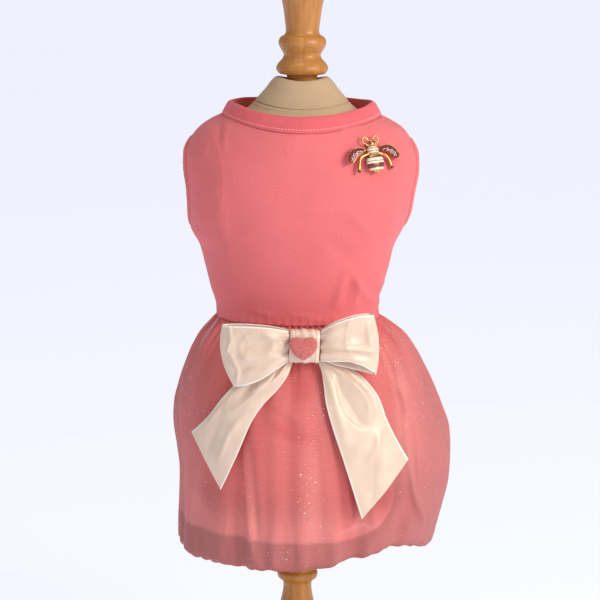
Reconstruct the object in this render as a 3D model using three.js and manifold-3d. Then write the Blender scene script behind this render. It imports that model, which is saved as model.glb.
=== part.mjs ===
// A small dog dress on a limbless dress form with a turned wooden stand.
// Millimetres, +Z up, origin at the centre of the base's underside. The side of the dress with the
// bow and the brooch faces -Y, and +X is on the right when that side is looked at.
import * as THREE from "three";
import Module from "manifold-3d";
import { mergeVertices } from "three/addons/utils/BufferGeometryUtils.js";

const wasm = await Module();
wasm.setup();

// ---- driving dimensions ----------------------------------------------------------------------

const RIBBON_WIDTH = 38; // the bow's satin ribbon, and the size the rest is scaled from
const SEAM_GAP = 0.3; // between any two pieces that are sewn, glued or seated on each other
const JERSEY = 1.2; // wall of the bodice panels
const TULLE = 1.0; // wall of the skirt's outer layer
const LINING = 1.0; // wall of the skirt's lining
const SATIN = 1.0; // wall of the ribbon
const BAND = 2.2; // the doubled rib of the neckband and the armhole bands

const SIDE_SEAM = 91; // degrees from the front, where the two bodice panels meet
const ARMHOLE = { middle: 357, halfHeight: 29, halfAngle: 20.5, halfWidth: 21.5, bandWidth: 6.2, spans: 12 };

const BASE = { radius: 100, height: 15 };
const POST_TOP = 215; // the form's flat underside, and the post's top below it

// ---- tables: one row a section ---------------------------------------------------------------

// Bodice, outer face. level is the height at the sides; front and back give the height and depth.
const BODICE = table(
  ["level", "zFront", "zBack", "left", "right", "front", "back", "roundness"],
  [
    [400.4, 392.4, 400.0, 50.2, 49.6, 50.0, 47.5, 2.0],
    [396.6, 387.2, 395.0, 58.2, 57.4, 51.8, 50.0, 2.04],
    [391.5, 381.4, 389.0, 65.2, 65.0, 53.4, 52.0, 2.1],
    [384.5, 374.6, 381.0, 71.0, 70.2, 54.6, 53.6, 2.16],
    [376.0, 366.6, 372.0, 75.2, 74.8, 55.4, 54.6, 2.2],
    [366.5, 358.0, 362.0, 76.0, 76.0, 55.8, 55.0, 2.24],
    [355.0, 348.0, 351.0, 74.6, 74.2, 55.8, 55.0, 2.25],
    [340.0, 335.0, 337.0, 72.7, 70.8, 55.0, 54.2, 2.25],
    [328.0, 325.0, 326.0, 70.6, 65.4, 53.6, 52.6, 2.2],
    [316.5, 315.0, 315.5, 64.6, 59.2, 51.8, 50.8, 2.15],
    [304.0, 303.0, 303.0, 61.3, 56.3, 49.2, 48.0, 2.1],
    [290.0, 289.5, 289.5, 57.7, 52.8, 46.0, 45.0, 2.06],
    [277.0, 277.0, 277.0, 54.0, 50.6, 43.2, 42.2, 2.0],
    [270.3, 270.3, 270.3, 53.7, 51.3, 42.6, 41.6, 2.0],
  ],
);

// Skirt, outer tulle without its folds.
const SKIRT = table(
  ["level", "left", "right", "front", "back", "gather"],
  [
    [270.0, 53.7, 51.3, 42.6, 41.6, 0.5],
    [266.0, 56.8, 57.6, 47.2, 46.0, 1.2],
    [258.0, 63.2, 67.4, 53.6, 52.2, 1.6],
    [249.8, 67.9, 73.3, 58.4, 56.6, 1.6],
    [241.0, 72.0, 78.6, 62.6, 60.4, 1.4],
    [226.0, 77.4, 85.6, 67.8, 65.4, 1.1],
    [213.0, 79.4, 90.8, 70.8, 68.6, 1.0],
    [198.0, 79.0, 96.4, 73.0, 71.0, 0.9],
    [182.0, 76.9, 98.0, 74.2, 72.2, 0.9],
    [165.0, 75.3, 97.3, 74.2, 72.2, 0.9],
    [147.0, 75.6, 93.6, 72.8, 71.2, 1.0],
    [132.0, 76.3, 89.6, 71.4, 70.4, 1.1],
    [121.5, 76.4, 86.6, 69.4, 69.0, 1.0],
    [118.0, 73.4, 83.4, 66.4, 66.2, 0.8],
  ],
);

// Lining, outer face. It ends in a loose rounded hem above the tulle's.
const LINING_LEVELS = table(
  ["level", "left", "right", "front", "back"],
  [
    [269.6, 51.6, 49.2, 40.5, 39.5],
    [264.0, 53.8, 53.2, 43.8, 42.6],
    [254.0, 60.4, 63.6, 51.2, 49.6],
    [240.0, 67.6, 73.0, 58.2, 56.0],
    [224.0, 73.2, 80.2, 63.4, 61.0],
    [204.0, 75.0, 85.2, 66.6, 64.6],
    [184.0, 72.8, 86.4, 67.6, 66.0],
    [164.0, 69.6, 82.6, 66.0, 64.8],
    [148.0, 67.6, 75.8, 63.4, 62.8],
    [139.0, 66.0, 70.6, 60.8, 60.2],
    [136.0, 62.6, 66.4, 57.4, 57.0],
  ],
);

// The largest folds of the skirt: a ridge stands out (height over 0), a trough goes in.
const SKIRT_FOLDS = table(
  ["angle", "height", "halfWidth", "top", "bottom"],
  [
    [-27, -3.4, 6, 232, 118],
    [-19, 1.8, 5, 226, 118],
    [22, -3.6, 5, 238, 118],
    [31, 1.8, 6, 214, 118],
    [48, -2.2, 5, 190, 118],
    [62, 2.4, 6, 250, 118],
    [76, 2.0, 5, 206, 124],
    [-70, 2.0, 5, 254, 118],
    [-82, -2.0, 6, 246, 140],
    [-96, 2.2, 7, 230, 118],
    [104, -2.6, 6, 244, 118],
    [122, 2.4, 7, 236, 118],
    [141, -3.0, 6, 240, 118],
    [160, 2.4, 8, 222, 118],
    [180, -2.8, 7, 248, 118],
    [-158, 2.2, 7, 216, 118],
    [-137, -3.2, 6, 242, 118],
    [-117, 2.0, 6, 204, 118],
  ],
);

// Dress form: level is the height at the sides, zFront at the front (and at the back for the neck).
const FORM = table(
  ["level", "zFront", "zBack", "side", "front", "back", "roundness"],
  [
    [409.0, 409.0, 409.0, 10.4, 10.4, 10.4, 2.0],
    [420.6, 419.4, 419.4, 11.2, 11.2, 11.2, 2.0],
    [423.6, 421.8, 421.8, 13.4, 13.4, 13.4, 2.0],
    [424.0, 421.8, 421.8, 16.0, 16.0, 16.0, 2.0],
    [421.6, 419.0, 419.4, 19.2, 18.8, 18.8, 2.0],
    [416.6, 413.4, 414.6, 23.0, 22.4, 22.4, 2.0],
    [411.5, 408.0, 410.0, 27.4, 26.8, 26.6, 2.0],
    [406.0, 402.4, 405.2, 32.2, 32.0, 31.4, 2.0],
    [402.4, 397.6, 401.6, 37.6, 38.2, 36.8, 2.0],
    [399.2, 390.6, 398.4, 46.6, 46.8, 44.4, 2.0],
    [395.2, 385.4, 393.4, 55.8, 49.9, 48.1, 2.04],
    [390.0, 379.6, 387.4, 63.3, 51.6, 50.2, 2.1],
    [383.2, 373.4, 379.8, 68.5, 52.9, 51.9, 2.16],
    [375.0, 366.0, 371.4, 72.2, 53.8, 53.0, 2.2],
    [365.0, 358.0, 362.0, 72.6, 54.15, 53.35, 2.22],
    [350.0, 346.0, 348.0, 69.4, 54.0, 53.2, 2.2],
    [330.0, 328.0, 329.0, 62.0, 52.0, 51.0, 2.16],
    [308.0, 307.0, 307.0, 54.4, 47.4, 46.4, 2.1],
    [286.0, 286.0, 286.0, 48.6, 42.4, 41.6, 2.04],
    [268.0, 268.0, 268.0, 46.6, 38.0, 37.0, 2.0],
    [248.0, 248.0, 248.0, 48.4, 40.0, 39.0, 2.0],
    [229.0, 229.0, 229.0, 47.6, 39.6, 38.6, 2.0],
    [218.6, 218.6, 218.6, 42.6, 35.0, 34.2, 2.0],
    [POST_TOP, POST_TOP, POST_TOP, 35.0, 27.6, 27.0, 2.0],
  ],
);

// Bow loops, out from the knot: the height of the ribbon's middle, its spread as a share of its
// width, the loop's depth and middle plane, how far the lower edge leans towards the knot, and how
// far the edges curl back towards the knot.
const LEFT_LOOP = table(
  ["x", "middle", "spread", "depth", "plane", "lean", "curl"],
  [
    [-6.6, 262.2, 0.5, 5.0, -65.4, 0.0, 0.0],
    [-16.0, 260.6, 0.7, 8.4, -66.5, 0.8, 0.4],
    [-27.0, 258.2, 0.88, 9.6, -66.4, 2.0, 1.4],
    [-37.5, 256.4, 0.98, 8.6, -65.0, 3.0, 2.8],
    [-44.4, 255.6, 1.0, 6.0, -63.2, 3.5, 4.1],
  ],
);
const RIGHT_LOOP = table(
  ["x", "middle", "spread", "depth", "plane", "lean", "curl"],
  [
    [12.8, 262.4, 0.5, 5.0, -65.4, 0.0, 0.0],
    [21.0, 263.4, 0.7, 8.2, -66.0, 0.0, 0.3],
    [31.0, 263.8, 0.86, 9.4, -65.2, -0.4, 1.0],
    [40.0, 263.4, 0.96, 8.4, -63.4, -0.8, 1.9],
    [46.2, 262.6, 1.0, 6.0, -61.6, -1.0, 2.7],
  ],
);

// Bow tails: each row is one cut across the ribbon, from its inner to its outer edge.
const LEFT_TAIL = table(
  ["innerX", "innerZ", "outerX", "outerZ"],
  [
    [-3.5, 253.0, -9.5, 258.0],
    [-7.0, 243.5, -22.0, 249.5],
    [-13.5, 234.5, -36.5, 240.0],
    [-22.5, 224.8, -47.5, 228.5],
    [-30.0, 213.0, -55.0, 218.0],
    [-37.8, 194.0, -62.0, 209.5],
    [-48.6, 168.6, -67.6, 203.6],
  ],
);
const RIGHT_TAIL = table(
  ["innerX", "innerZ", "outerX", "outerZ"],
  [
    [10.5, 253.0, 15.0, 258.0],
    [13.6, 245.5, 26.0, 250.5],
    [15.2, 236.5, 38.5, 242.5],
    [16.8, 225.5, 49.0, 230.0],
    [21.5, 209.5, 55.0, 215.0],
    [28.5, 189.0, 61.5, 202.0],
    [39.8, 153.0, 69.1, 188.6],
  ],
);

// Turned profiles, as radius and height from the bottom up.
const POST_PROFILE = [
  [0, BASE.height + SEAM_GAP],
  [19, BASE.height + SEAM_GAP],
  [19.5, 20],
  [16.0, 25],
  [12.6, 32],
  [13.6, 42],
  [15.2, 55],
  [14.2, 67],
  [11.0, 79],
  [9.3, 88],
  [9.8, 93],
  [12.6, 95.5],
  [13.2, 99],
  [11.4, 102],
  [13.6, 106],
  [13.6, 111],
  [11.0, 116],
  [11.0, POST_TOP - 13],
  [21.0, POST_TOP - 9],
  [22.0, POST_TOP - 5],
  [22.0, POST_TOP - SEAM_GAP],
  [0, POST_TOP - SEAM_GAP],
];
const FINIAL_PROFILE = [
  [0, 409 + SEAM_GAP],
  [9.6, 409 + SEAM_GAP],
  [9.6, 424.0],
  [14.2, 425.6],
  [16.5, 428.6],
  [15.4, 432.0],
  [12.6, 435.2],
  [11.8, 438.0],
  [13.6, 441.2],
  [15.2, 445.0],
  [14.0, 448.6],
  [10.7, 451.4],
  [11.3, 459.6],
  [12.3, 467.0],
  [14.2, 476.0],
  [15.6, 485.0],
  [14.2, 493.0],
  [9.0, 498.6],
  [0, 500.4],
];
const BASE_PROFILE = [
  [0, 0],
  [BASE.radius - 2, 0],
  [BASE.radius, 2],
  [BASE.radius, 7],
  [BASE.radius - 5, 9.5],
  [BASE.radius - 8, 10.5],
  [BASE.radius - 30, 13.6],
  [26, BASE.height],
  [0, BASE.height],
];

// ---- small tools -----------------------------------------------------------------------------

// Rows of numbers become rows with named columns.
function table(columns, rows) {
  return rows.map((row) => Object.fromEntries(columns.map((name, i) => [name, row[i]])));
}

// The value of a column between rows, along a smooth curve that never overshoots its rows.
function lookUp(rows, key, column, value) {
  const falling = rows[0][key] > rows[rows.length - 1][key];
  const sorted = falling ? [...rows].reverse() : rows;
  const x = sorted.map((row) => row[key]);
  const y = sorted.map((row) => row[column]);
  const last = x.length - 1;
  const at = Math.min(Math.max(value, x[0]), x[last]);
  let i = 0;
  while (i < last - 1 && at > x[i + 1]) i += 1;
  const slope = (k) => (y[k + 1] - y[k]) / (x[k + 1] - x[k]);
  const tangent = (k) => {
    if (k === 0) return slope(0);
    if (k === last) return slope(last - 1);
    const [before, after] = [slope(k - 1), slope(k)];
    return before * after <= 0 ? 0 : (2 * before * after) / (before + after);
  };
  const width = x[i + 1] - x[i];
  const t = (at - x[i]) / width;
  const rise = y[i + 1] - y[i];
  const [m0, m1] = [tangent(i) * width, tangent(i + 1) * width];
  return y[i] + t * m0 + t * t * (3 * rise - 2 * m0 - m1) + t * t * t * (m0 + m1 - 2 * rise);
}

const radians = THREE.MathUtils.degToRad;
const vector = (x, y, z) => new THREE.Vector3(x, y, z);
const steps = (count, start, end) =>
  Array.from({ length: count }, (_, i) => start + ((end - start) * i) / (count - 1));

// A point of a rounded section: the angle runs from the front (-Y) towards +X.
function sectionPoint(angle, z, half, front, back, roundness) {
  const [s, c] = [Math.sin(radians(angle)), Math.cos(radians(angle))];
  const power = 2 / roundness;
  const x = Math.sign(s) * half * Math.abs(s) ** power;
  const y = -Math.sign(c) * (c > 0 ? front : back) * Math.abs(c) ** power;
  return vector(x, y, z);
}

// A surface moved along its own normal. surface(angle, level) must run round with the angle.
function moved(surface, angle, level, out) {
  const nudge = 0.4;
  const across = surface(angle + nudge, level).sub(surface(angle - nudge, level));
  const up = surface(angle, level + nudge).sub(surface(angle, level - nudge));
  const normal = across.cross(up).normalize();
  return surface(angle, level).addScaledVector(normal, out);
}

// Triangles of a closed solid between an outer and an inner sheet of the same rows and columns.
function wallBetween(outer, inner, { ring }) {
  const rows = outer.length;
  const columns = outer[0].length;
  const points = [...outer.flat(), ...inner.flat()];
  const faces = [];
  const at = (layer, row, column) => (layer * rows + row) * columns + (column % columns);
  const quad = (a, b, c, d) => faces.push(a, b, c, a, c, d);
  const spans = ring ? columns : columns - 1;
  for (let row = 0; row < rows - 1; row += 1) {
    for (let column = 0; column < spans; column += 1) {
      const next = column + 1;
      quad(at(0, row, column), at(0, row + 1, column), at(0, row + 1, next), at(0, row, next));
      quad(at(1, row, column), at(1, row, next), at(1, row + 1, next), at(1, row + 1, column));
    }
    if (!ring) {
      quad(at(0, row, 0), at(1, row, 0), at(1, row + 1, 0), at(0, row + 1, 0));
      quad(at(0, row, spans), at(0, row + 1, spans), at(1, row + 1, spans), at(1, row, spans));
    }
  }
  for (let column = 0; column < spans; column += 1) {
    const next = column + 1;
    const end = rows - 1;
    quad(at(0, 0, column), at(0, 0, next), at(1, 0, next), at(1, 0, column));
    quad(at(0, end, column), at(1, end, column), at(1, end, next), at(0, end, next));
  }
  return solidFrom(points, faces);
}

// A closed solid through rings; the first and the last ring are filled to their middles.
function loft(rings) {
  const count = rings[0].length;
  const points = rings.flat();
  const faces = [];
  const middleOf = (ring) =>
    ring.reduce((sum, point) => sum.add(point), vector(0, 0, 0)).divideScalar(count);
  rings.slice(0, -1).forEach((_, row) => {
    for (let column = 0; column < count; column += 1) {
      const next = (column + 1) % count;
      const [a, b] = [row * count + column, row * count + next];
      faces.push(a, a + count, b + count, a, b + count, b);
    }
  });
  points.push(middleOf(rings[0]), middleOf(rings[rings.length - 1]));
  const [first, last] = [points.length - 2, points.length - 1];
  const lastRing = (rings.length - 1) * count;
  for (let column = 0; column < count; column += 1) {
    const next = (column + 1) % count;
    faces.push(first, column, next);
    faces.push(last, lastRing + next, lastRing + column);
  }
  return solidFrom(points, faces);
}

// A tube whose section runs round a closed loop: stations[i] is the section's ring of points there.
function hoop(stations) {
  const count = stations[0].length;
  const faces = [];
  stations.forEach((_, i) => {
    const j = (i + 1) % stations.length;
    for (let k = 0; k < count; k += 1) {
      const next = (k + 1) % count;
      const [a, b] = [i * count + k, j * count + k];
      const [c, d] = [j * count + next, i * count + next];
      faces.push(a, b, c, a, c, d);
    }
  });
  return solidFrom(stations.flat(), faces);
}

// A geometry from points and faces, turned to face out.
function solidFrom(points, faces) {
  const volume = points.length === 0 ? 0 : signedVolume(points, faces);
  const index = volume < 0 ? faces.map((_, i) => faces[i - (i % 3) + (2 - (i % 3))]) : faces;
  const geometry = new THREE.BufferGeometry().setFromPoints(points);
  geometry.setIndex(index);
  geometry.computeVertexNormals();
  return geometry;
}

function signedVolume(points, faces) {
  let sum = 0;
  for (let i = 0; i < faces.length; i += 3) {
    const [a, b, c] = [points[faces[i]], points[faces[i + 1]], points[faces[i + 2]]];
    sum += a.dot(b.clone().cross(c)) / 6;
  }
  return sum;
}

// Closed geometries joined into one.
function joined(geometries) {
  const solids = geometries.map((geometry) => {
    const bare = geometry.clone();
    ["normal", "uv"].forEach((name) => bare.deleteAttribute(name));
    const merged = mergeVertices(bare, 1e-4);
    const triVerts = new Uint32Array(merged.index.array);
    const vertProperties = merged.attributes.position.array;
    return new wasm.Manifold(new wasm.Mesh({ numProp: 3, vertProperties, triVerts }));
  });
  const mesh = solids.reduce((all, solid) => all.add(solid)).getMesh();
  const geometry = new THREE.BufferGeometry();
  geometry.setAttribute("position", new THREE.BufferAttribute(mesh.vertProperties, 3));
  geometry.setIndex(new THREE.BufferAttribute(mesh.triVerts, 1));
  geometry.computeVertexNormals();
  return geometry;
}

// ---- surfaces --------------------------------------------------------------------------------

function bodiceSurface(angle, level) {
  const value = (column) => lookUp(BODICE, "level", column, level);
  const c = Math.cos(radians(angle));
  const half = Math.sin(radians(angle)) > 0 ? value("right") : value("left");
  const z = level + ((c > 0 ? value("zFront") : value("zBack")) - level) * c * c;
  return sectionPoint(angle, z, half, value("front"), value("back"), value("roundness"));
}

const HEM_LIFT = { angle: 46, height: 11, halfWidth: 28, from: 190 }; // the hem rises on the right

function fadeIn(value, start, end) {
  return THREE.MathUtils.smoothstep((value - start) / (end - start), 0, 1);
}

function bump(angle, centre, halfWidth) {
  const off = THREE.MathUtils.euclideanModulo(angle - centre + 180, 360) - 180;
  return Math.exp(-((off / halfWidth) ** 2));
}

// Uneven gathers: the count goes round with a wandering pitch.
const GATHERS = 22;
function gatherWave(angle) {
  const a = radians(angle);
  return Math.sin(GATHERS * a + 1.3 * Math.sin(3 * a) + 0.9 * Math.sin(5 * a + 1));
}

function skirtFolds(angle, level) {
  return SKIRT_FOLDS.reduce((sum, fold) => {
    const reach = fadeIn(level, fold.top, fold.top - 30) * fadeIn(level, fold.bottom - 8, fold.bottom);
    return sum + fold.height * reach * bump(angle, fold.angle, fold.halfWidth);
  }, 0);
}

function skirtSurface(angle, level) {
  const value = (column) => lookUp(SKIRT, "level", column, level);
  const half = Math.sin(radians(angle)) > 0 ? value("right") : value("left");
  const out = skirtFolds(angle, level) + value("gather") * gatherWave(angle);
  const lift = HEM_LIFT.height * bump(angle, HEM_LIFT.angle, HEM_LIFT.halfWidth);
  const z = level + lift * fadeIn(level, HEM_LIFT.from, 118);
  return sectionPoint(angle, z, half + out, value("front") + out, value("back") + out, 2);
}

const LINING_LIFT = { angle: 62, height: 20, halfWidth: 30, from: 200 };

function liningSurface(angle, level) {
  const value = (column) => lookUp(LINING_LEVELS, "level", column, level);
  const half = Math.sin(radians(angle)) > 0 ? value("right") : value("left");
  const lift = LINING_LIFT.height * bump(angle, LINING_LIFT.angle, LINING_LIFT.halfWidth);
  const z = level + lift * fadeIn(level, LINING_LIFT.from, 136);
  return sectionPoint(angle, z, half, value("front"), value("back"), 2);
}

// The skirt's front face over a place seen from the front, clear of every gather and ridge by 'out'.
function skirtFront(x, z, out) {
  let [low, high] = [-88, 88];
  const smooth = (angle) => {
    const value = (column) => lookUp(SKIRT, "level", column, z);
    const clear = value("gather") + Math.max(skirtFolds(angle, z), 0) + out;
    const half = (angle > 0 ? value("right") : value("left")) + clear;
    return sectionPoint(angle, z, half, value("front") + clear, 1, 2);
  };
  for (let i = 0; i < 40; i += 1) {
    const middle = (low + high) / 2;
    if (smooth(middle).x < x) low = middle;
    else high = middle;
  }
  return smooth((low + high) / 2);
}

// ---- pieces ----------------------------------------------------------------------------------

// Levels down a bodice panel, closer together round the armhole, where its edge curves.
function panelLevels() {
  const { middle, halfHeight } = ARMHOLE;
  const [top, bottom] = [middle + halfHeight, middle - halfHeight];
  const above = steps(4, BODICE[0].level, top).slice(0, -1);
  const turns = steps(ARMHOLE.spans + 1, 0, Math.PI);
  const round = turns.map((turn) => middle + halfHeight * Math.cos(turn));
  const below = steps(6, bottom, BODICE[BODICE.length - 1].level).slice(1);
  return [...above, ...round, ...below];
}

// How far the armhole's seam stands off the side seam at a level, in degrees.
function armholeReach(level) {
  const off = (level - ARMHOLE.middle) / ARMHOLE.halfHeight;
  return Math.abs(off) >= 1 ? 0 : ARMHOLE.halfAngle * Math.sqrt(1 - off * off);
}

// One bodice panel between two seams; side is 1 on the front and -1 on the belly side.
function bodicePanel(columns, edgeAngles) {
  const sheet = (out) =>
    panelLevels().map((level) => {
      const [start, end] = edgeAngles(level);
      return steps(columns, start, end).map((angle) => moved(bodiceSurface, angle, level, out));
    });
  return wallBetween(sheet(0), sheet(-JERSEY), { ring: false });
}

const SEAM_HALF_GAP_ANGLE = 0.16; // half of the seam gap at the side, in degrees
const BACK_PANEL_COLUMNS = 17;
const BELLY_PANEL_COLUMNS = 17;

const backPanel = () =>
  bodicePanel(BACK_PANEL_COLUMNS, (level) => {
    const edge = SIDE_SEAM - armholeReach(level) - SEAM_HALF_GAP_ANGLE;
    return [-edge, edge];
  });

const bellyPanel = () =>
  bodicePanel(BELLY_PANEL_COLUMNS, (level) => {
    const edge = SIDE_SEAM + armholeReach(level) + SEAM_HALF_GAP_ANGLE;
    return [edge, 360 - edge];
  });

// The armhole's binding: a soft rounded strip round the oval, standing a little proud of the panel.
function armholeBand(side) {
  const { middle, halfHeight, halfAngle, halfWidth, bandWidth } = ARMHOLE;
  const anglePerMm = halfAngle / halfWidth;
  const section = [
    [0.35, -JERSEY],
    [0.35, 0.2],
    [1.6, 0.9],
    [bandWidth - 1.2, 1.0],
    [bandWidth, 0],
    [bandWidth - 0.8, -JERSEY],
  ];
  const stations = steps(2 * ARMHOLE.spans + 1, 0, 2 * Math.PI)
    .slice(0, -1)
    .map((turn) =>
      section.map(([inward, out]) => {
        const across = (halfAngle - inward * anglePerMm) * Math.sin(turn);
        const level = middle + (halfHeight - inward) * Math.cos(turn);
        return moved(bodiceSurface, side * (SIDE_SEAM + across), level, out);
      }),
    );
  return hoop(stations);
}

// The neckband: a doubled strip that leans in, with soft edges.
function neckband() {
  const bottom = { half: 50.0, front: 50.0, back: 47.4, side: 401.0, zFront: 393.0, zBack: 400.6 };
  const top = { half: 46.2, front: 45.4, back: 43.2, side: 408.6, zFront: 401.9, zBack: 408.0 };
  const section = [
    [0, 0],
    [0.3, 0.45],
    [0.75, 0.35],
    [0.97, -0.4],
    [1, -BAND / 2],
    [0.94, -BAND + 0.3],
    [0.5, -BAND],
    [0, -BAND],
  ];
  const stations = steps(41, 0, 360)
    .slice(0, -1)
    .map((angle) =>
      section.map(([height, out]) => {
        const mix = (name) => bottom[name] + (top[name] - bottom[name]) * height;
        const c = Math.cos(radians(angle));
        const z = mix("side") + (mix(c > 0 ? "zFront" : "zBack") - mix("side")) * c * c;
        return sectionPoint(angle, z, mix("half") + out, mix("front") + out, mix("back") + out, 2);
      }),
    );
  return hoop(stations);
}

const SKIRT_COLUMNS = 88;
const LINING_COLUMNS = 40;

// A closed wall of cloth all round, through the rows of a table.
function clothTube(rows, surface, columns, thickness) {
  const angles = steps(columns + 1, 0, 360).slice(0, -1);
  const sheet = (out) =>
    rows.map(({ level }) => angles.map((angle) => moved(surface, angle, level, out)));
  return wallBetween(sheet(0), sheet(-thickness), { ring: true });
}

const FORM_COLUMNS = 28;

function dressForm() {
  const angles = steps(FORM_COLUMNS + 1, 0, 360).slice(0, -1);
  return loft(
    FORM.map((row) =>
      angles.map((angle) => {
        const c = Math.cos(radians(angle));
        const z = row.level + ((c > 0 ? row.zFront : row.zBack) - row.level) * c * c;
        return sectionPoint(angle, z, row.side, row.front, row.back, row.roundness);
      }),
    ),
  );
}

// One loop of the bow: the ribbon runs out in front, turns at the end and comes back behind.
function bowLoop(rows) {
  const last = rows[rows.length - 1];
  const direction = Math.sign(last.x - rows[0].x);
  const path = [
    ...rows.map((row) => ({ ...row, y: row.plane - row.depth / 2 })),
    { ...last, x: last.x + (direction * last.depth) / 3, y: last.plane },
    ...[...rows].reverse().map((row) => ({ ...row, y: row.plane + row.depth / 2 })),
  ];
  const across = steps(7, -1, 1);
  const sheet = (out) =>
    path.map((station, i) => {
      const before = path[Math.max(i - 1, 0)];
      const after = path[Math.min(i + 1, path.length - 1)];
      const along = vector(after.x - before.x, after.y - before.y, 0).normalize();
      const normal = vector(along.y, -along.x, 0).multiplyScalar(direction);
      const pinch = 1 - Math.abs(station.x - rows[0].x) / Math.abs(last.x - rows[0].x);
      return across.map((share) => {
        const pleat = 0.9 * pinch * Math.cos(3 * Math.PI * share);
        const bowed = station.curl * (0.4 - share * share);
        const x = station.x + direction * (station.lean * share + bowed);
        const z = station.middle + (RIBBON_WIDTH / 2) * station.spread * share;
        return vector(x, station.y, z).addScaledVector(normal, out + pleat);
      });
    });
  return wallBetween(sheet(0), sheet(-SATIN), { ring: false });
}

// Rows halfway between a table's rows are put in between them.
function withHalfways(rows) {
  const halfway = (a, b) =>
    Object.fromEntries(Object.keys(a).map((name) => [name, (a[name] + b[name]) / 2]));
  return rows.flatMap((row, i) => (i === 0 ? [row] : [halfway(rows[i - 1], row), row]));
}

// One tail of the bow: the ribbon lies on the skirt's gathers.
function bowTail(rows) {
  const across = steps(7, 0, 1);
  const sheet = (out) =>
    withHalfways(rows).map((row) =>
      across.map((share) => {
        const x = row.innerX + (row.outerX - row.innerX) * share;
        const z = row.innerZ + (row.outerZ - row.innerZ) * share;
        return skirtFront(x, z, out);
      }),
    );
  return wallBetween(sheet(SEAM_GAP + SATIN), sheet(SEAM_GAP), { ring: false });
}

const KNOT = { x: 3.1, y: -65.6, z: 262.2, halfWidth: 9.2, halfDepth: 6.6, halfHeight: 10.8 };

// The wrap of ribbon in the bow's middle: a plump pad with squared shoulders.
function bowKnot() {
  const pad = new THREE.SphereGeometry(1, 16, 10);
  const place = pad.attributes.position;
  const square = (value, power) => Math.sign(value) * Math.abs(value) ** power;
  for (let i = 0; i < place.count; i += 1) {
    const x = square(place.getX(i), 0.7) * KNOT.halfWidth;
    const y = square(place.getZ(i), 0.8) * KNOT.halfDepth;
    const z = square(place.getY(i), 0.7) * KNOT.halfHeight;
    place.setXYZ(i, KNOT.x + x, KNOT.y - y, KNOT.z + z);
  }
  pad.computeVertexNormals();
  return pad;
}

// The flocked heart on the knot.
const HEART = { width: 17.4, height: 14.3, thickness: 3.2, x: 2.4, z: 261.9 };

function heart() {
  const { width: w, height: h, thickness } = HEART;
  const outline = new THREE.Shape();
  outline.moveTo(0, -h / 2);
  outline.bezierCurveTo(-w * 0.14, -h * 0.5, -w * 0.5, -h * 0.14, -w / 2, h * 0.16);
  outline.bezierCurveTo(-w / 2, h * 0.4, -w * 0.38, h / 2, -w * 0.26, h / 2);
  outline.bezierCurveTo(-w * 0.14, h / 2, -w * 0.05, h * 0.44, 0, h * 0.36);
  outline.bezierCurveTo(w * 0.05, h * 0.44, w * 0.14, h / 2, w * 0.26, h / 2);
  outline.bezierCurveTo(w * 0.38, h / 2, w / 2, h * 0.4, w / 2, h * 0.16);
  outline.bezierCurveTo(w * 0.5, -h * 0.14, w * 0.14, -h * 0.5, 0, -h / 2);
  const bevel = 1.1;
  const options = {
    depth: thickness - 2 * bevel,
    bevelEnabled: true,
    bevelThickness: bevel,
    bevelSize: bevel,
    bevelOffset: -bevel,
    bevelSegments: 2,
    curveSegments: 5,
  };
  const plate = new THREE.ExtrudeGeometry(outline, options);
  plate.rotateX(Math.PI / 2);
  const back = KNOT.y - KNOT.halfDepth - SEAM_GAP - bevel;
  return plate.translate(HEART.x, back, HEART.z);
}

// The brooch: a bee with its head up, tangent to the bodice. Local x is to the right, y is up the
// bee's body, z is out of the cloth, and z = 0 is the flat of its back.
const BEE = { angle: 36.5, level: 384.5, tilt: 4, size: 1.1 };

function tubeAlong(points, radius) {
  const path = new THREE.CatmullRomCurve3(points.map(([x, y, z]) => vector(x, y, z)));
  const round = new THREE.Shape().absarc(0, 0, radius, 0, 2 * Math.PI);
  const options = { steps: 6, curveSegments: 3, extrudePath: path, bevelEnabled: false };
  return new THREE.ExtrudeGeometry(round, options);
}

function pebble(x, y, z, rx, ry, rz) {
  return new THREE.SphereGeometry(1, 10, 8).scale(rx, ry, rz).translate(x, y, z);
}

function beeBody() {
  const antenna = (side) =>
    tubeAlong([[side * 1.6, 5.4, 2], [side * 5.4, 8.2, 2], [side * 3.8, 11.2, 2], [side, 8.2, 2]], 0.55);
  const leg = (side) =>
    tubeAlong([[side * 2, 1.2, 2], [side * 8.2, -0.6, 1.7], [side * 9.6, -3.8, 1.5], [side * 10.6, -9, 1.2]], 0.85);
  return joined([
    pebble(0, -4.6, 2.6, 5.2, 5.8, 2.6),
    pebble(0, 2.4, 2.4, 3.4, 3.2, 2.4),
    pebble(0, 6.4, 2.0, 2.2, 2.2, 2.0),
    antenna(-1),
    antenna(1),
    leg(-1),
    leg(1),
  ]);
}

function beeWing(side) {
  const outline = new THREE.Shape();
  const x = (value) => side * value;
  outline.moveTo(x(4.2), 2.9);
  outline.lineTo(x(4.8), 4.6);
  outline.bezierCurveTo(x(8.0), 6.4, x(12.6), 5.8, x(14.8), 2.8);
  outline.bezierCurveTo(x(16.2), 0.8, x(16.8), -1.6, x(16.2), -3.0);
  outline.bezierCurveTo(x(15.2), -3.6, x(13.4), -3.2, x(12.4), -2.2);
  outline.lineTo(x(9.6), 1.0);
  outline.lineTo(x(4.2), 2.9);
  const options = {
    depth: 1.2,
    bevelEnabled: true,
    bevelThickness: 0.3,
    bevelSize: 0.3,
    bevelOffset: -0.3,
    bevelSegments: 1,
    curveSegments: 6,
  };
  return new THREE.ExtrudeGeometry(outline, options).translate(0, 0, 1.0);
}

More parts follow.
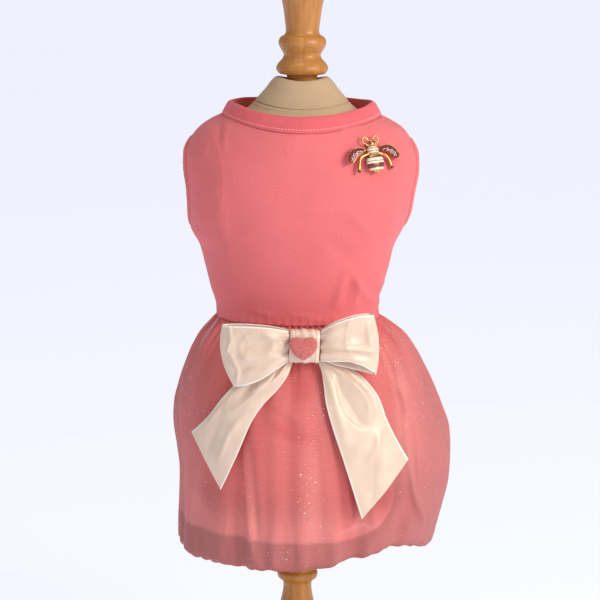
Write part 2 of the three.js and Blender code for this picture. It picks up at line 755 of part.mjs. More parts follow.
// Places a brooch piece on the bodice.
function onBodice(geometry) {
  const point = moved(bodiceSurface, BEE.angle, BEE.level, SEAM_GAP);
  const out = point.clone().sub(moved(bodiceSurface, BEE.angle, BEE.level, 0)).normalize();
  const right = vector(0, 0, 1).cross(out).normalize();
  const up = out.clone().cross(right);
  const frame = new THREE.Matrix4().makeBasis(right, up, out).setPosition(point);
  const tilt = new THREE.Matrix4().makeRotationZ(radians(BEE.tilt));
  const scaled = new THREE.Matrix4().makeScale(BEE.size, BEE.size, BEE.size);
  return geometry.applyMatrix4(frame.multiply(tilt).multiply(scaled));
}

const turned = (profile, sides) =>
  new THREE.LatheGeometry(
    profile.map(([radius, height]) => new THREE.Vector2(radius, height)),
    sides,
  ).rotateX(Math.PI / 2);

// ---- materials and the object ----------------------------------------------------------------

const material = (color, roughness, metalness = 0) =>
  new THREE.MeshStandardMaterial({ color, roughness, metalness });

const jersey = () => material("#de6872", 0.9);
const satin = () => material("#ead7c8", 0.35);
const wood = () => material("#b97a3e", 0.4);
const gold = () => material("#d9a441", 0.3, 1);

const dress = new THREE.Group();

function add(name, geometry, look) {
  const mesh = new THREE.Mesh(geometry, look);
  mesh.name = name;
  dress.add(mesh);
}

add("stand_base", turned(BASE_PROFILE, 40), wood());
add("stand_post", turned(POST_PROFILE, 18), wood());
add("stand_finial", turned(FINIAL_PROFILE, 18), wood());
add("dress_form", dressForm(), material("#c9ab84", 0.95));
add("bodice_back_panel", backPanel(), jersey());
add("bodice_belly_panel", bellyPanel(), jersey());
add("neckband", neckband(), material("#d8555f", 0.9));
add("armhole_band_left", armholeBand(-1), jersey());
add("armhole_band_right", armholeBand(1), jersey());
add("skirt_tulle", clothTube(SKIRT, skirtSurface, SKIRT_COLUMNS, TULLE), material("#d86c78", 0.8));
add("skirt_lining", clothTube(LINING_LEVELS, liningSurface, LINING_COLUMNS, LINING), jersey());
add("bow_loop_left", bowLoop(LEFT_LOOP), satin());
add("bow_loop_right", bowLoop(RIGHT_LOOP), satin());
add("bow_tail_left", bowTail(LEFT_TAIL), satin());
add("bow_tail_right", bowTail(RIGHT_TAIL), satin());
add("bow_knot", bowKnot(), satin());
add("bow_heart", heart(), material("#c8606a", 1));
add("bee_body", onBodice(beeBody()), gold());
add("bee_wing_left", onBodice(beeWing(-1)), material("#5b1f2b", 0.3));
add("bee_wing_right", onBodice(beeWing(1)), material("#5b1f2b", 0.3));

export default dress;
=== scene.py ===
# %% [markdown]
# # A small dog dress on its dress form
# The dress is cut from cotton jersey, with a gathered skirt of glitter tulle over a lining, a
# satin bow and a brooch. It stands on a padded form with a turned wooden stand. The solids are
# already made elsewhere as a fixed frame. Here each one gets a finer cloth, with its creases and
# its sewing. The frame is loaded first.

# %% Load the fixed frame
import math
import bpy
import numpy as np
from mathutils import Matrix, Vector


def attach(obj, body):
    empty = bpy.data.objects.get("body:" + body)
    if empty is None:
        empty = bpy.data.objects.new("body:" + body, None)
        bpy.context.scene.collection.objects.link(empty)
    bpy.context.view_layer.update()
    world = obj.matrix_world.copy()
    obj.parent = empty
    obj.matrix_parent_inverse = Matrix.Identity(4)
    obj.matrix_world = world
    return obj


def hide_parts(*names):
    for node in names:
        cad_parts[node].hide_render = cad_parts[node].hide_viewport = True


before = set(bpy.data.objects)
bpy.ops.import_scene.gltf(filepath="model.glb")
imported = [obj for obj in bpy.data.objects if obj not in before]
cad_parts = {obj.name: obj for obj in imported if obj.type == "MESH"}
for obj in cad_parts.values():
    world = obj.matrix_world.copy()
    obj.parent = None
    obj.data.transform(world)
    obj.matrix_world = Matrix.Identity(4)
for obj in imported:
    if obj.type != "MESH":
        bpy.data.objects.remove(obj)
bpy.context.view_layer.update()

# %% [markdown]
# ## Camera, light and floor
# The dress is looked at from slightly above with a long lens, which keeps its proportions true. A
# large soft light stands at the right, as a window would, and the sky gives the rest. One soft
# light shows cloth best: every fold has a lit side and a shaded side.

# %% Camera


def placed(name, data):
    """A new object in the scene."""
    obj = bpy.data.objects.new(name, data)
    bpy.context.scene.collection.objects.link(obj)
    return obj


VIEW_TARGET = Vector((0, 0, 0.280))
VIEW_DISTANCE = 1.42
VIEW_ELEVATION = math.radians(9.5)
VIEW_ROLL = math.radians(0.53)

camera = placed("camera", bpy.data.cameras.new("camera"))
camera.data.lens, camera.data.sensor_width = 132, 36
back = Vector((0, -math.cos(VIEW_ELEVATION), math.sin(VIEW_ELEVATION)))
camera.location = VIEW_TARGET + back * VIEW_DISTANCE
look = (-back).to_track_quat("-Z", "Y").to_matrix() @ Matrix.Rotation(VIEW_ROLL, 3, "Z")
camera.rotation_euler = look.to_euler()
bpy.context.scene.camera = camera
bpy.context.scene.view_settings.view_transform = "Standard"
print("camera at", tuple(round(x, 3) for x in camera.location))

# %% Sky and soft lights
world = bpy.data.worlds.new("studio_sky")
bpy.context.scene.world = world
world.use_nodes = True
sky = world.node_tree.nodes["Background"].inputs
sky["Color"].default_value = (0.93, 0.95, 1.0, 1)
sky["Strength"].default_value = 0.3
LIT_PLACE = Vector((0, 0, 0.3))


def soft_light(name, place, size, watts, colour):
    """A square area light that points at the dress."""
    light = placed(name, bpy.data.lights.new(name, "AREA"))
    light.data.size, light.data.energy, light.data.color = size, watts, colour
    light.location = place
    away = LIT_PLACE - Vector(place)
    light.rotation_euler = away.to_track_quat("-Z", "Y").to_euler()


soft_light("window", (1.35, -1.15, 1.05), 0.8, 26, (1.0, 0.96, 0.90))
soft_light("ceiling", (-0.2, -0.5, 2.2), 1.2, 9, (1.0, 0.97, 0.93))

# %% [markdown]
# ## Tools for finishes
# Every finish is a small tree of nodes round one shader. The helper below adds a node in one
# line, so that a finish reads like a recipe. Patterns that follow the cloth read a UV map in
# millimetres, which makes a knit stitch or a net's hole as large as the real one.

# %% A helper that builds finishes


class Finish:
    """A material that is being made: each call adds one node and gives back its output."""

    def __init__(self, name, colour, **sockets):
        self.material = bpy.data.materials.new(name)
        self.material.use_nodes = True
        self.tree = self.material.node_tree
        self.shader = self.tree.nodes["Principled BSDF"]
        self.set("Base Color", (*colour, 1))
        for socket, value in sockets.items():
            self.set(socket.replace("_", " "), value)

    def set(self, socket, value):
        self.feed(self.shader.inputs[socket], value)

    def feed(self, socket, value):
        if isinstance(value, bpy.types.NodeSocket):
            self.tree.links.new(value, socket)
        else:
            socket.default_value = value

    def node(self, kind, inputs=(), output=0, **settings):
        node = self.tree.nodes.new("ShaderNode" + kind)
        for key, value in settings.items():
            setattr(node, key, value)
        for key, value in dict(inputs).items():
            self.feed(node.inputs[key], value)
        return node.outputs[output]

    def maths(self, operation, a, b=0.0):
        return self.node("Math", {0: a, 1: b}, operation=operation)

    def plus(self, a, b):
        return self.maths("ADD", a, b)

    def times(self, a, b):
        return self.maths("MULTIPLY", a, b)

    def cloth_place(self):
        """The two UV coordinates, across and down the cloth, in millimetres."""
        uv = self.node("UVMap", uv_map="cloth")
        return uv, self.axis(uv, 0), self.axis(uv, 1)

    def axis(self, place, number):
        return self.node("SeparateXYZ", {0: place}, number)

    def object_place(self, scale=1000):
        """The place in the object, in millimetres where the scale is 1000."""
        return self.stretched(self.node("TexCoord", output=3), (scale, scale, scale))

    def stripes(self, place, pitch):
        """A soft wave from 0 to 1 that repeats once in a pitch."""
        wave = self.maths("COSINE", self.times(place, 2 * math.pi / pitch))
        return self.times(self.plus(wave, 1.0), 0.5)

    def noise(self, place, size, detail):
        return self.node("TexNoise", {"Vector": place, "Scale": 1 / size, "Detail": detail})

    def stretched(self, place, scale):
        return self.node("Mapping", {"Vector": place, "Scale": scale})

    def range(self, value, low, high, to_low=0.0, to_high=1.0):
        inputs = {"Value": value, "From Min": low, "From Max": high}
        inputs.update({"To Min": to_low, "To Max": to_high})
        return self.node("MapRange", inputs, interpolation_type="SMOOTHSTEP")

    def mix(self, share, a, b):
        a, b = [(*x, 1) if isinstance(x, tuple) and len(x) == 3 else x for x in (a, b)]
        return self.node("Mix", {0: share, 6: a, 7: b}, 2, data_type="RGBA")

    def bump(self, height, distance_mm):
        inputs = {"Height": height, "Distance": distance_mm / 1000, "Strength": 1.0}
        self.set("Normal", self.node("Bump", inputs))

    def mottle(self, size, detail, low, high, dark, light, scale=1000):
        """A cloudy base colour between two tones. The clouds come back, for other sockets."""
        clouds = self.noise(self.object_place(scale), size, detail)
        self.set("Base Color", self.mix(self.range(clouds, low, high), dark, light))
        return clouds


print("finish helper ready")

# %% [markdown]
# ## Finishes
# Cotton jersey is matt and a little fuzzy: a knit of fine ribs, a soft nap, and a sheen where it
# turns away. Satin is smooth and shiny along its warp, with a firm edge that is painted lighter as
# a painted highlight. Tulle is a net, so most of what it does is let the lining show, and its
# glitter is laid in rows.

# %% Jersey and rib


def jersey_finish(name, colour, wale, nap):
    """A knit: wales run down the cloth, courses run across, and a nap lies over both."""
    knit = Finish(name, colour, Roughness=0.86, Sheen_Weight=0.2, Sheen_Roughness=0.45)
    knit.set("Specular IOR Level", 0.2)
    uv, across, down = knit.cloth_place()
    wales = knit.stripes(across, wale)
    courses = knit.stripes(down, wale * 0.78)
    fuzz = knit.noise(uv, 0.75, 3)
    blotch = knit.noise(uv, 26, 2)
    dark = tuple(c * 0.89 for c in colour)
    light = tuple(min(1, c * 1.07) for c in colour)
    base = knit.mix(knit.range(fuzz, 0.36, 0.66), dark, light)
    knit.set("Base Color", knit.mix(knit.range(blotch, 0.35, 0.7, 0, 0.6), base, dark))
    ribs = knit.times(wales, courses)
    height = knit.plus(knit.times(ribs, 0.4), knit.times(fuzz, nap))
    knit.bump(height, 0.13)
    return knit.material


jersey = jersey_finish("pink_jersey", (0.88, 0.195, 0.205), 0.9, 0.9)
rib = jersey_finish("pink_rib", (0.84, 0.15, 0.165), 1.3, 0.7)
lining_cloth = jersey_finish("pink_lining", (0.97, 0.235, 0.215), 0.6, 0.4)
form_cover = jersey_finish("cream_cotton", (0.60, 0.42, 0.255), 0.7, 0.5)
print("knits:", jersey.name, rib.name, lining_cloth.name, form_cover.name)

# %% Satin ribbon
satin = Finish("ivory_satin", (0.86, 0.64, 0.49), Roughness=0.38, Metallic=0.04)
satin.set("Specular IOR Level", 0.45)
uv, across = satin.cloth_place()[:2]
# The band along each edge of the ribbon: the bump raises it, and it is painted lighter as a painted
# highlight.
selvage_and_highlight = satin.range(satin.maths("ABSOLUTE", across), 17.7, 18.2)
threads = satin.noise(satin.stretched(uv, (5.0, 0.3, 1)), 1.0, 1)
clouds = satin.noise(uv, 14, 1)
base = satin.mix(satin.range(clouds, 0.3, 0.7), (0.80, 0.60, 0.465), (0.87, 0.665, 0.52))
# Painted highlight: the edge band is painted almost white.
satin.set("Base Color", satin.mix(selvage_and_highlight, base, (0.98, 0.91, 0.80)))
satin.set("Roughness", satin.range(clouds, 0.3, 0.7, 0.35, 0.42))
weave, rim = satin.times(threads, 0.2), satin.times(selvage_and_highlight, 1.5)
satin.bump(satin.plus(weave, rim), 0.04)
print("satin:", satin.material.name)

# %% Glitter tulle
NET_PITCH = 1.35
HEM_COVER, SIDE_COVER, DOUBLE_COVER = 0.46, 0.40, 0.10
tulle = Finish("glitter_tulle", (0.95, 0.32, 0.30), Roughness=0.65, Sheen_Weight=0.06)
tulle.set("Specular IOR Level", 0.25)
uv, across, down = tulle.cloth_place()
slant = tulle.times(across, 0.87)
half_down = tulle.times(down, 0.5)
rows = tulle.stripes(down, NET_PITCH)
one_way = tulle.stripes(tulle.plus(slant, half_down), NET_PITCH)
other_way = tulle.stripes(tulle.maths("SUBTRACT", slant, half_down), NET_PITCH)
threads = tulle.maths("MAXIMUM", rows, tulle.maths("MAXIMUM", one_way, other_way))
thread = tulle.range(threads, 0.62, 0.95)
streak = tulle.noise(tulle.stretched(uv, (1 / 24, 1 / 1.1, 1)), 1.0, 2)
place = tulle.object_place()
# Near the hem and at the sides the net is denser, and its colour there is darker by painted shade.
hem = tulle.range(tulle.axis(place, 2), 140, 168, 1.0, 0.0)
side = tulle.range(tulle.maths("ABSOLUTE", tulle.axis(place, 0)), 52, 76)
painted_shade = tulle.node("Attribute", output=2, attribute_name="painted_shade_net")
double = tulle.node("Attribute", output=2, attribute_name="double_net")
cover = tulle.range(streak, 0.3, 0.7, 0.46, 0.52)
cover = tulle.plus(cover, tulle.times(thread, 0.12))
for share, amount in ((hem, HEM_COVER), (side, SIDE_COVER), (double, DOUBLE_COVER)):
    cover = tulle.plus(cover, tulle.times(share, amount))
tulle.set("Alpha", tulle.maths("MINIMUM", cover, 1.0))
colour = tulle.mix(tulle.range(double, -1, 1), (0.86, 0.185, 0.19), (1.0, 0.335, 0.30))
colour = tulle.mix(tulle.range(streak, 0.4, 0.66, 0, 0.35), colour, (0.86, 0.23, 0.21))
# Painted shade: the net's colour darkens towards the hem and towards the sides.
colour = tulle.mix(tulle.times(hem, 0.45), colour, (0.74, 0.24, 0.21))
colour = tulle.mix(tulle.times(side, 0.3), colour, (0.62, 0.22, 0.22))
# Painted shade: the net's holes are painted dark where no lining lies behind them, below the hem
# line, along one corner of the lining and at the sides.
painted_shade_in_holes = tulle.times(painted_shade, tulle.range(threads, 0.3, 0.9, 1.0, 0.45))
tulle.set("Base Color", tulle.mix(painted_shade_in_holes, colour, (0.25, 0.085, 0.085)))
tulle.bump(thread, 0.12)
print("tulle net pitch in mm:", NET_PITCH)

# %% Flock, wood, metal, enamel and stones
flock = Finish("pink_flock", (0.66, 0.16, 0.15), Roughness=1.0, Sheen_Weight=0.3)
flock.set("Sheen Roughness", 0.6)
flock.bump(flock.mottle(0.5, 5, 0.35, 0.7, (0.56, 0.10, 0.095), (0.82, 0.24, 0.21)), 0.5)

wood = Finish("turned_wood", (0.55, 0.23, 0.05), Roughness=0.42, Coat_Weight=0.15)
wood.set("Coat Roughness", 0.25)
place = wood.object_place()
grain = wood.noise(wood.stretched(place, (0.45, 0.45, 0.018)), 1.0, 4)
figure = wood.noise(wood.stretched(place, (0.06, 0.06, 0.012)), 1.0, 2)
base = wood.mix(wood.range(grain, 0.35, 0.7), (0.50, 0.20, 0.036), (0.62, 0.275, 0.066))
wood.set("Base Color", wood.mix(wood.range(figure, 0.35, 0.7, 0, 0.5), base, (0.44, 0.165, 0.026)))
wood.bump(grain, 0.05)

gold = Finish("gold_metal", (0.95, 0.62, 0.25), Metallic=1.0, Roughness=0.2)
tarnish = gold.mottle(1.2, 3, 0.35, 0.7, (0.58, 0.28, 0.08), (0.84, 0.52, 0.21))
gold.set("Roughness", gold.range(tarnish, 0.3, 0.7, 0.2, 0.36))


def enamel_finish(name, dark, light, shine=0.5):
    """Poured enamel: smooth, with a faint cloud in its colour."""
    enamel = Finish(name, light, Roughness=0.42, Coat_Weight=0.2 * shine, Coat_Roughness=0.2)
    enamel.set("Specular IOR Level", shine)
    enamel.mottle(1.6, 3, 0.35, 0.65, dark, light)
    return enamel.material


cream_enamel = enamel_finish("cream_enamel", (0.80, 0.62, 0.44), (0.95, 0.84, 0.66))
dark_enamel = enamel_finish("dark_red_enamel", (0.12, 0.014, 0.020), (0.26, 0.035, 0.045))
wing_enamel = enamel_finish("wing_enamel", (0.13, 0.012, 0.022), (0.22, 0.028, 0.040), 0.06)
stone = Finish("clear_stone", (0.93, 0.88, 0.86), Metallic=0.55, Roughness=0.06)
stone.mottle(0.7, 1, 0.4, 0.6, (0.55, 0.42, 0.40), (1.0, 0.97, 0.93))
glitter = Finish("glitter_flake", (1.0, 0.84, 0.80), Metallic=0.6, Roughness=0.3)
glitter.mottle(3.0, 1, 0.4, 0.6, (1.0, 0.66, 0.62), (1.0, 0.93, 0.88))
thread_finish = Finish("sewing_thread", (0.95, 0.36, 0.36), Roughness=0.55)
ply = thread_finish.noise(thread_finish.object_place(), 0.3, 2)
thread_finish.set("Base Color", thread_finish.mix(ply, (0.95, 0.36, 0.36), (1.0, 0.58, 0.55)))
print("finishes:", len(bpy.data.materials))

# %% [markdown]
# ## Tables and surfaces
# The solids were worked out from short tables, one row a section. The same tables are used here
# with many more rows and columns in between, so each cloth lies where its solid is. All tables
# are in millimetres, and the angle runs from the front towards the right.

# %% Tables of the sections


def table(columns, rows):
    """Rows of numbers become named columns."""
    return dict(zip(columns.split(), np.array(rows, float).T))


BODICE = table("level z_front z_back left right front back roundness", [
    (400.4, 392.4, 400, 50.2, 49.6, 50, 47.5, 2),
    (396.6, 387.2, 395, 58.2, 57.4, 51.8, 50, 2.04),
    (391.5, 381.4, 389, 65.2, 65, 53.4, 52, 2.1),
    (384.5, 374.6, 381, 71, 70.2, 54.6, 53.6, 2.16),
    (376, 366.6, 372, 75.2, 74.8, 55.4, 54.6, 2.2),
    (366.5, 358, 362, 76, 76, 55.8, 55, 2.24),
    (355, 348, 351, 74.6, 74.2, 55.8, 55, 2.25),
    (340, 335, 337, 72.7, 70.8, 55, 54.2, 2.25),
    (328, 325, 326, 70.6, 65.4, 53.6, 52.6, 2.2),
    (316.5, 315, 315.5, 64.6, 59.2, 51.8, 50.8, 2.15),
    (304, 303, 303, 61.3, 56.3, 49.2, 48, 2.1),
    (290, 289.5, 289.5, 57.7, 52.8, 46, 45, 2.06),
    (277, 277, 277, 54, 50.6, 43.2, 42.2, 2),
    (270.3, 270.3, 270.3, 53.7, 51.3, 42.6, 41.6, 2),
])
SKIRT = table("level left right front back gather", [
    (270, 53.7, 51.3, 42.6, 41.6, 0.5),
    (266, 56.8, 57.6, 47.2, 46, 1.2),
    (258, 63.2, 67.4, 53.6, 52.2, 1.6),
    (249.8, 67.9, 73.3, 58.4, 56.6, 1.6),
    (241, 72, 78.6, 62.6, 60.4, 1.4),
    (226, 77.4, 85.6, 67.8, 65.4, 1.1),
    (213, 79.4, 90.8, 70.8, 68.6, 1),
    (198, 79, 96.4, 73, 71, 0.9),
    (182, 76.9, 98, 74.2, 72.2, 0.9),
    (165, 75.3, 97.3, 74.2, 72.2, 0.9),
    (147, 75.6, 93.6, 72.8, 71.2, 1),
    (132, 76.3, 89.6, 71.4, 70.4, 1.1),
    (121.5, 76.4, 86.6, 69.4, 69, 1),
    (118, 73.4, 83.4, 66.4, 66.2, 0.8),
])
LINING = table("level left right front back", [
    (269.6, 51.6, 49.2, 40.5, 39.5),
    (264, 53.8, 53.2, 43.8, 42.6),
    (254, 60.4, 63.6, 51.2, 49.6),
    (240, 67.6, 73, 58.2, 56),
    (224, 73.2, 80.2, 63.4, 61),
    (204, 75, 85.2, 66.6, 64.6),
    (184, 72.8, 86.4, 67.6, 66),
    (164, 69.6, 82.6, 66, 64.8),
    (148, 67.6, 75.8, 63.4, 62.8),
    (139, 66, 70.6, 60.8, 60.2),
    (136, 62.6, 66.4, 57.4, 57),
])
SKIRT_FOLDS = [  # angle, height, half width, top, bottom
    (-27, -3.4, 6, 232, 118),
    (-19, 1.8, 5, 226, 118),
    (22, -3.6, 5, 238, 118),
    (31, 1.8, 6, 214, 118),
    (48, -2.2, 5, 190, 118),
    (62, 2.4, 6, 250, 118),
    (76, 2, 5, 206, 124),
    (-70, 2, 5, 254, 118),
    (-82, -2, 6, 246, 140),
    (-96, 2.2, 7, 230, 118),
    (104, -2.6, 6, 244, 118),
    (122, 2.4, 7, 236, 118),
    (141, -3, 6, 240, 118),
    (160, 2.4, 8, 222, 118),
    (180, -2.8, 7, 248, 118),
    (-158, 2.2, 7, 216, 118),
    (-137, -3.2, 6, 242, 118),
    (-117, 2, 6, 204, 118),
]
FORM = table("level z_front z_back side front back roundness", [
    (409, 409, 409, 10.4, 10.4, 10.4, 2),
    (420.6, 419.4, 419.4, 11.2, 11.2, 11.2, 2),
    (423.6, 421.8, 421.8, 13.4, 13.4, 13.4, 2),
    (424, 421.8, 421.8, 16, 16, 16, 2),
    (421.6, 419, 419.4, 19.2, 18.8, 18.8, 2),
    (416.6, 413.4, 414.6, 23, 22.4, 22.4, 2),
    (411.5, 408, 410, 27.4, 26.8, 26.6, 2),
    (406, 402.4, 405.2, 32.2, 32, 31.4, 2),
    (402.4, 397.6, 401.6, 37.6, 38.2, 36.8, 2),
    (399.2, 390.6, 398.4, 46.6, 46.8, 44.4, 2),
    (395.2, 385.4, 393.4, 55.8, 49.9, 48.1, 2.04),
    (390, 379.6, 387.4, 63.3, 51.6, 50.2, 2.1),
    (383.2, 373.4, 379.8, 68.5, 52.9, 51.9, 2.16),
    (375, 366, 371.4, 72.2, 53.8, 53, 2.2),
    (365, 358, 362, 72.6, 54.15, 53.35, 2.22),
    (350, 346, 348, 69.4, 54, 53.2, 2.2),
    (330, 328, 329, 62, 52, 51, 2.16),
    (308, 307, 307, 54.4, 47.4, 46.4, 2.1),
    (286, 286, 286, 48.6, 42.4, 41.6, 2.04),
    (268, 268, 268, 46.6, 38, 37, 2),
    (248, 248, 248, 48.4, 40, 39, 2),
    (229, 229, 229, 47.6, 39.6, 38.6, 2),
    (218.6, 218.6, 218.6, 42.6, 35, 34.2, 2),
    (215, 215, 215, 35, 27.6, 27, 2),
])
FORM["row"] = np.arange(len(FORM["level"]), dtype=float)
print("rows of the tables:", [len(rows["level"]) for rows in (BODICE, SKIRT, LINING, FORM)])

# %% Smooth curves and sections


def along(rows, key, column, value):
    """A column's value between its rows, on a smooth curve that never overshoots them."""
    x, y = rows[key], rows[column]
    if x[0] > x[-1]:
        x, y = x[::-1], y[::-1]
    value = np.clip(np.asarray(value, float), x[0], x[-1])
    i = np.clip(np.searchsorted(x, value, side="right") - 1, 0, len(x) - 2)
    slope = np.diff(y) / np.diff(x)
    before, after = slope[:-1], slope[1:]
    both = np.where(before * after > 0, before + after, 1)
    middle = np.where(before * after > 0, 2 * before * after / both, 0)
    tangent = np.concatenate([slope[:1], middle, slope[-1:]])
    width = x[i + 1] - x[i]
    t = (value - x[i]) / width
    rise = y[i + 1] - y[i]
    start, end = tangent[i] * width, tangent[i + 1] * width
    return y[i] + t * start + t * t * (3 * rise - 2 * start - end) + t**3 * (start + end - 2 * rise)


def section(angle, z, half, front, back, roundness=2.0):
    """A point of a rounded section."""
    s, c = np.sin(np.radians(angle)), np.cos(np.radians(angle))
    power = 2 / roundness
    x = np.sign(s) * half * np.abs(s) ** power
    y = -np.sign(c) * np.where(c > 0, front, back) * np.abs(c) ** power
    return np.stack(np.broadcast_arrays(x, y, z), -1)


def smooth(value, start, end):
    """0 before the start, 1 after the end, and a soft step between them."""
    t = np.clip((value - start) / (end - start), 0, 1)
    return t * t * (3 - 2 * t)


def bump_round(angle, centre, wide):
    """1 at one angle, and less and less on both sides of it."""
    off = (angle - centre + 180) % 360 - 180
    return np.exp(-((off / wide) ** 2))


def unit(directions):
    return directions / np.linalg.norm(directions, axis=-1, keepdims=True)


def out_of(surface, angle, level, nudge=0.4):
    """The direction straight out of a surface."""
    across = surface(angle + nudge, level) - surface(angle - nudge, level)
    up = surface(angle, level + nudge) - surface(angle, level - nudge)
    return unit(np.cross(across, up))


def moved(surface, angle, level, out):
    """A point of a surface, so far out of it."""
    return surface(angle, level) + out_of(surface, angle, level) * np.asarray(out)[..., None]


print("waist half width at level 300:", float(along(BODICE, "level", "left", 300)))

# %% Surfaces of the bodice, the skirt and the lining
SKIRT_HEM, SKIRT_LIFT = 118, 11
LINING_HEM, LINING_LIFT = 136, 20


def columns_at(rows, key, value, names):
    """Several columns at once, each one smooth between its rows."""
    return [along(rows, key, name, value) for name in names.split()]


def sagged(angle, level, z_front, z_back):
    """The height of a level line that dips in front and behind."""
    c = np.cos(np.radians(angle))
    return level + (np.where(c > 0, z_front, z_back) - level) * c * c


def half_width(angle, left, right):
    return np.where(np.sin(np.radians(angle)) > 0, right, left)


def bodice_surface(angle, level):
    names = "left right z_front z_back front back roundness"
    left, right, z_front, z_back, *depths = columns_at(BODICE, "level", level, names)
    z = sagged(angle, level, z_front, z_back)
    return section(angle, z, half_width(angle, left, right), *depths)


def skirt_folds(angle, level):
    total = 0
    for centre, height, wide, top, bottom in SKIRT_FOLDS:
        reach = smooth(level, top, top - 30) * smooth(level, bottom - 8, bottom)
        total = total + height * reach * bump_round(angle, centre, wide)
    return total


def skirt_surface(angle, level):
    names = "left right front back gather"
    left, right, front, back, gather = columns_at(SKIRT, "level", level, names)
    a = np.radians(angle)
    wave = np.sin(22 * a + 1.3 * np.sin(3 * a) + 0.9 * np.sin(5 * a + 1))
    out = skirt_folds(angle, level) + gather * wave
    z = level + SKIRT_LIFT * bump_round(angle, 46, 28) * smooth(level, 190, SKIRT_HEM)
    return section(angle, z, half_width(angle, left, right) + out, front + out, back + out)


def lining_surface(angle, level):
    left, right, front, back = columns_at(LINING, "level", level, "left right front back")
    z = level + LINING_LIFT * bump_round(angle, 62, 30) * smooth(level, 200, LINING_HEM)
    return section(angle, z, half_width(angle, left, right), front, back)


print("skirt at the front, level 200:", skirt_surface(np.array(0.0), np.array(200.0)).round(1))

# %% [markdown]
# ## Tools for cloth
# A cloth is a grid of points. It gets faces, a UV map in millimetres of cloth, and a thin wall.
# Edit mode and the ready shapes get short names here too, since several pieces use them. Creases
# are written in tables of their own: a soft line over the cloth, with how far it rises and how
# wide it is. No two are alike, because real creases never are.

# %% From a grid of points to a cloth
MM = 0.001
JERSEY_WALL, LINING_WALL, RIBBON_WALL = 1.1, 0.8, 0.45


def closed(values, axis):
    """A grid whose first line comes again after its last."""
    return np.concatenate([values, values.take([0], axis)], axis)


def running_length(grid, axis):
    """How far each point is from the first one, along the lines of a grid."""
    steps = np.linalg.norm(np.diff(grid, axis=axis), axis=-1)
    return np.concatenate([np.zeros_like(steps.take([0], axis)), steps.cumsum(axis)], axis)


def arcs(grid, ring):
    """Distances across and down the cloth, in millimetres."""
    if ring:
        grid = closed(grid, 1)
    across = running_length(grid, 1)
    return across - across[:, across.shape[1] // 2, None], running_length(grid, 0)


def corners(values):
    """The values at the four corners of each face of a grid."""
    return np.stack([values[:-1, :-1], values[1:, :-1], values[1:, 1:], values[:-1, 1:]], 2)


def mesh_from(name, points, quads, corner_uv, finish):
    """A mesh object from points in millimetres, faces and a UV pair a corner."""
    mesh = bpy.data.meshes.new(name)
    mesh.vertices.add(len(points))
    mesh.vertices.foreach_set("co", (points * MM).astype(np.float32).ravel())
    mesh.loops.add(quads.size)
    mesh.loops.foreach_set("vertex_index", quads.astype(np.int32).ravel())
    mesh.polygons.add(len(quads))
    starts = np.arange(0, quads.size, quads.shape[1], dtype=np.int32)
    mesh.polygons.foreach_set("loop_start", starts)
    layer = mesh.uv_layers.new(name="cloth")
    layer.data.foreach_set("uv", corner_uv.astype(np.float32).ravel())
    mesh.materials.append(finish)
    mesh.update(calc_edges=True)
    mesh.shade_smooth()
    return placed(name, mesh)


def cloth(name, grid, finish, ring=False, uv=None):
    """A cloth from a grid: rows go down and columns go round."""
    rows, columns = grid.shape[:2]
    index = np.arange(rows * columns).reshape(rows, columns)
    if ring:
        index = closed(index, 1)
    place = np.stack(uv or arcs(grid, ring), -1)
    quads = corners(index).reshape(-1, 4)
    return mesh_from(name, grid.reshape(-1, 3), quads, corners(place).reshape(-1, 2), finish)


def only(obj):
    """The one selected and active object."""
    bpy.ops.object.select_all(action="DESELECT")
    obj.select_set(True)
    bpy.context.view_layer.objects.active = obj


def primitive(shape, place=(0, 0, 0), **settings):
    """One of the ready shapes, at a place in millimetres, selected alone."""
    bpy.ops.object.select_all(action="DESELECT")
    add = getattr(bpy.ops.mesh, f"primitive_{shape}_add")
    add(location=[p * MM for p in place], **settings)
    return bpy.context.object


def repeated(faces, count, points):
    """The faces of many equal small shapes, each with its own points."""
    return (faces[None] + np.arange(count)[:, None, None] * points).reshape(-1, faces.shape[1])


def edit(obj):
    only(obj)
    bpy.ops.object.mode_set(mode="EDIT")


def done():
    bpy.ops.object.mode_set(mode="OBJECT")


def face_outwards():
    """In edit mode: all faces are selected and turned outwards."""
    bpy.ops.mesh.select_all(action="SELECT")
    bpy.ops.mesh.normals_make_consistent(inside=False)


def fill_ends():
    """In edit mode: open rings get a face."""
    bpy.ops.mesh.select_all(action="DESELECT")
    bpy.ops.mesh.select_non_manifold()
    bpy.ops.mesh.fill_holes(sides=0)


def thicken(obj, wall_mm):
    """The cloth gets a wall on its inner side."""
    only(obj)
    wall = obj.modifiers.new("wall", "SOLIDIFY")
    wall.thickness, wall.offset = wall_mm * MM, -1
    bpy.ops.object.modifier_apply(modifier="wall")


def wear(obj, slot, *nodes):
    """The piece rides on the part's body and stands for its solids. The slot is not used."""
    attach(obj, "root")
    if nodes:
        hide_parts(*nodes)
    print(obj.name, "faces:", len(obj.data.polygons))


print("cloth tools ready")

# %% Creases and normals of a grid


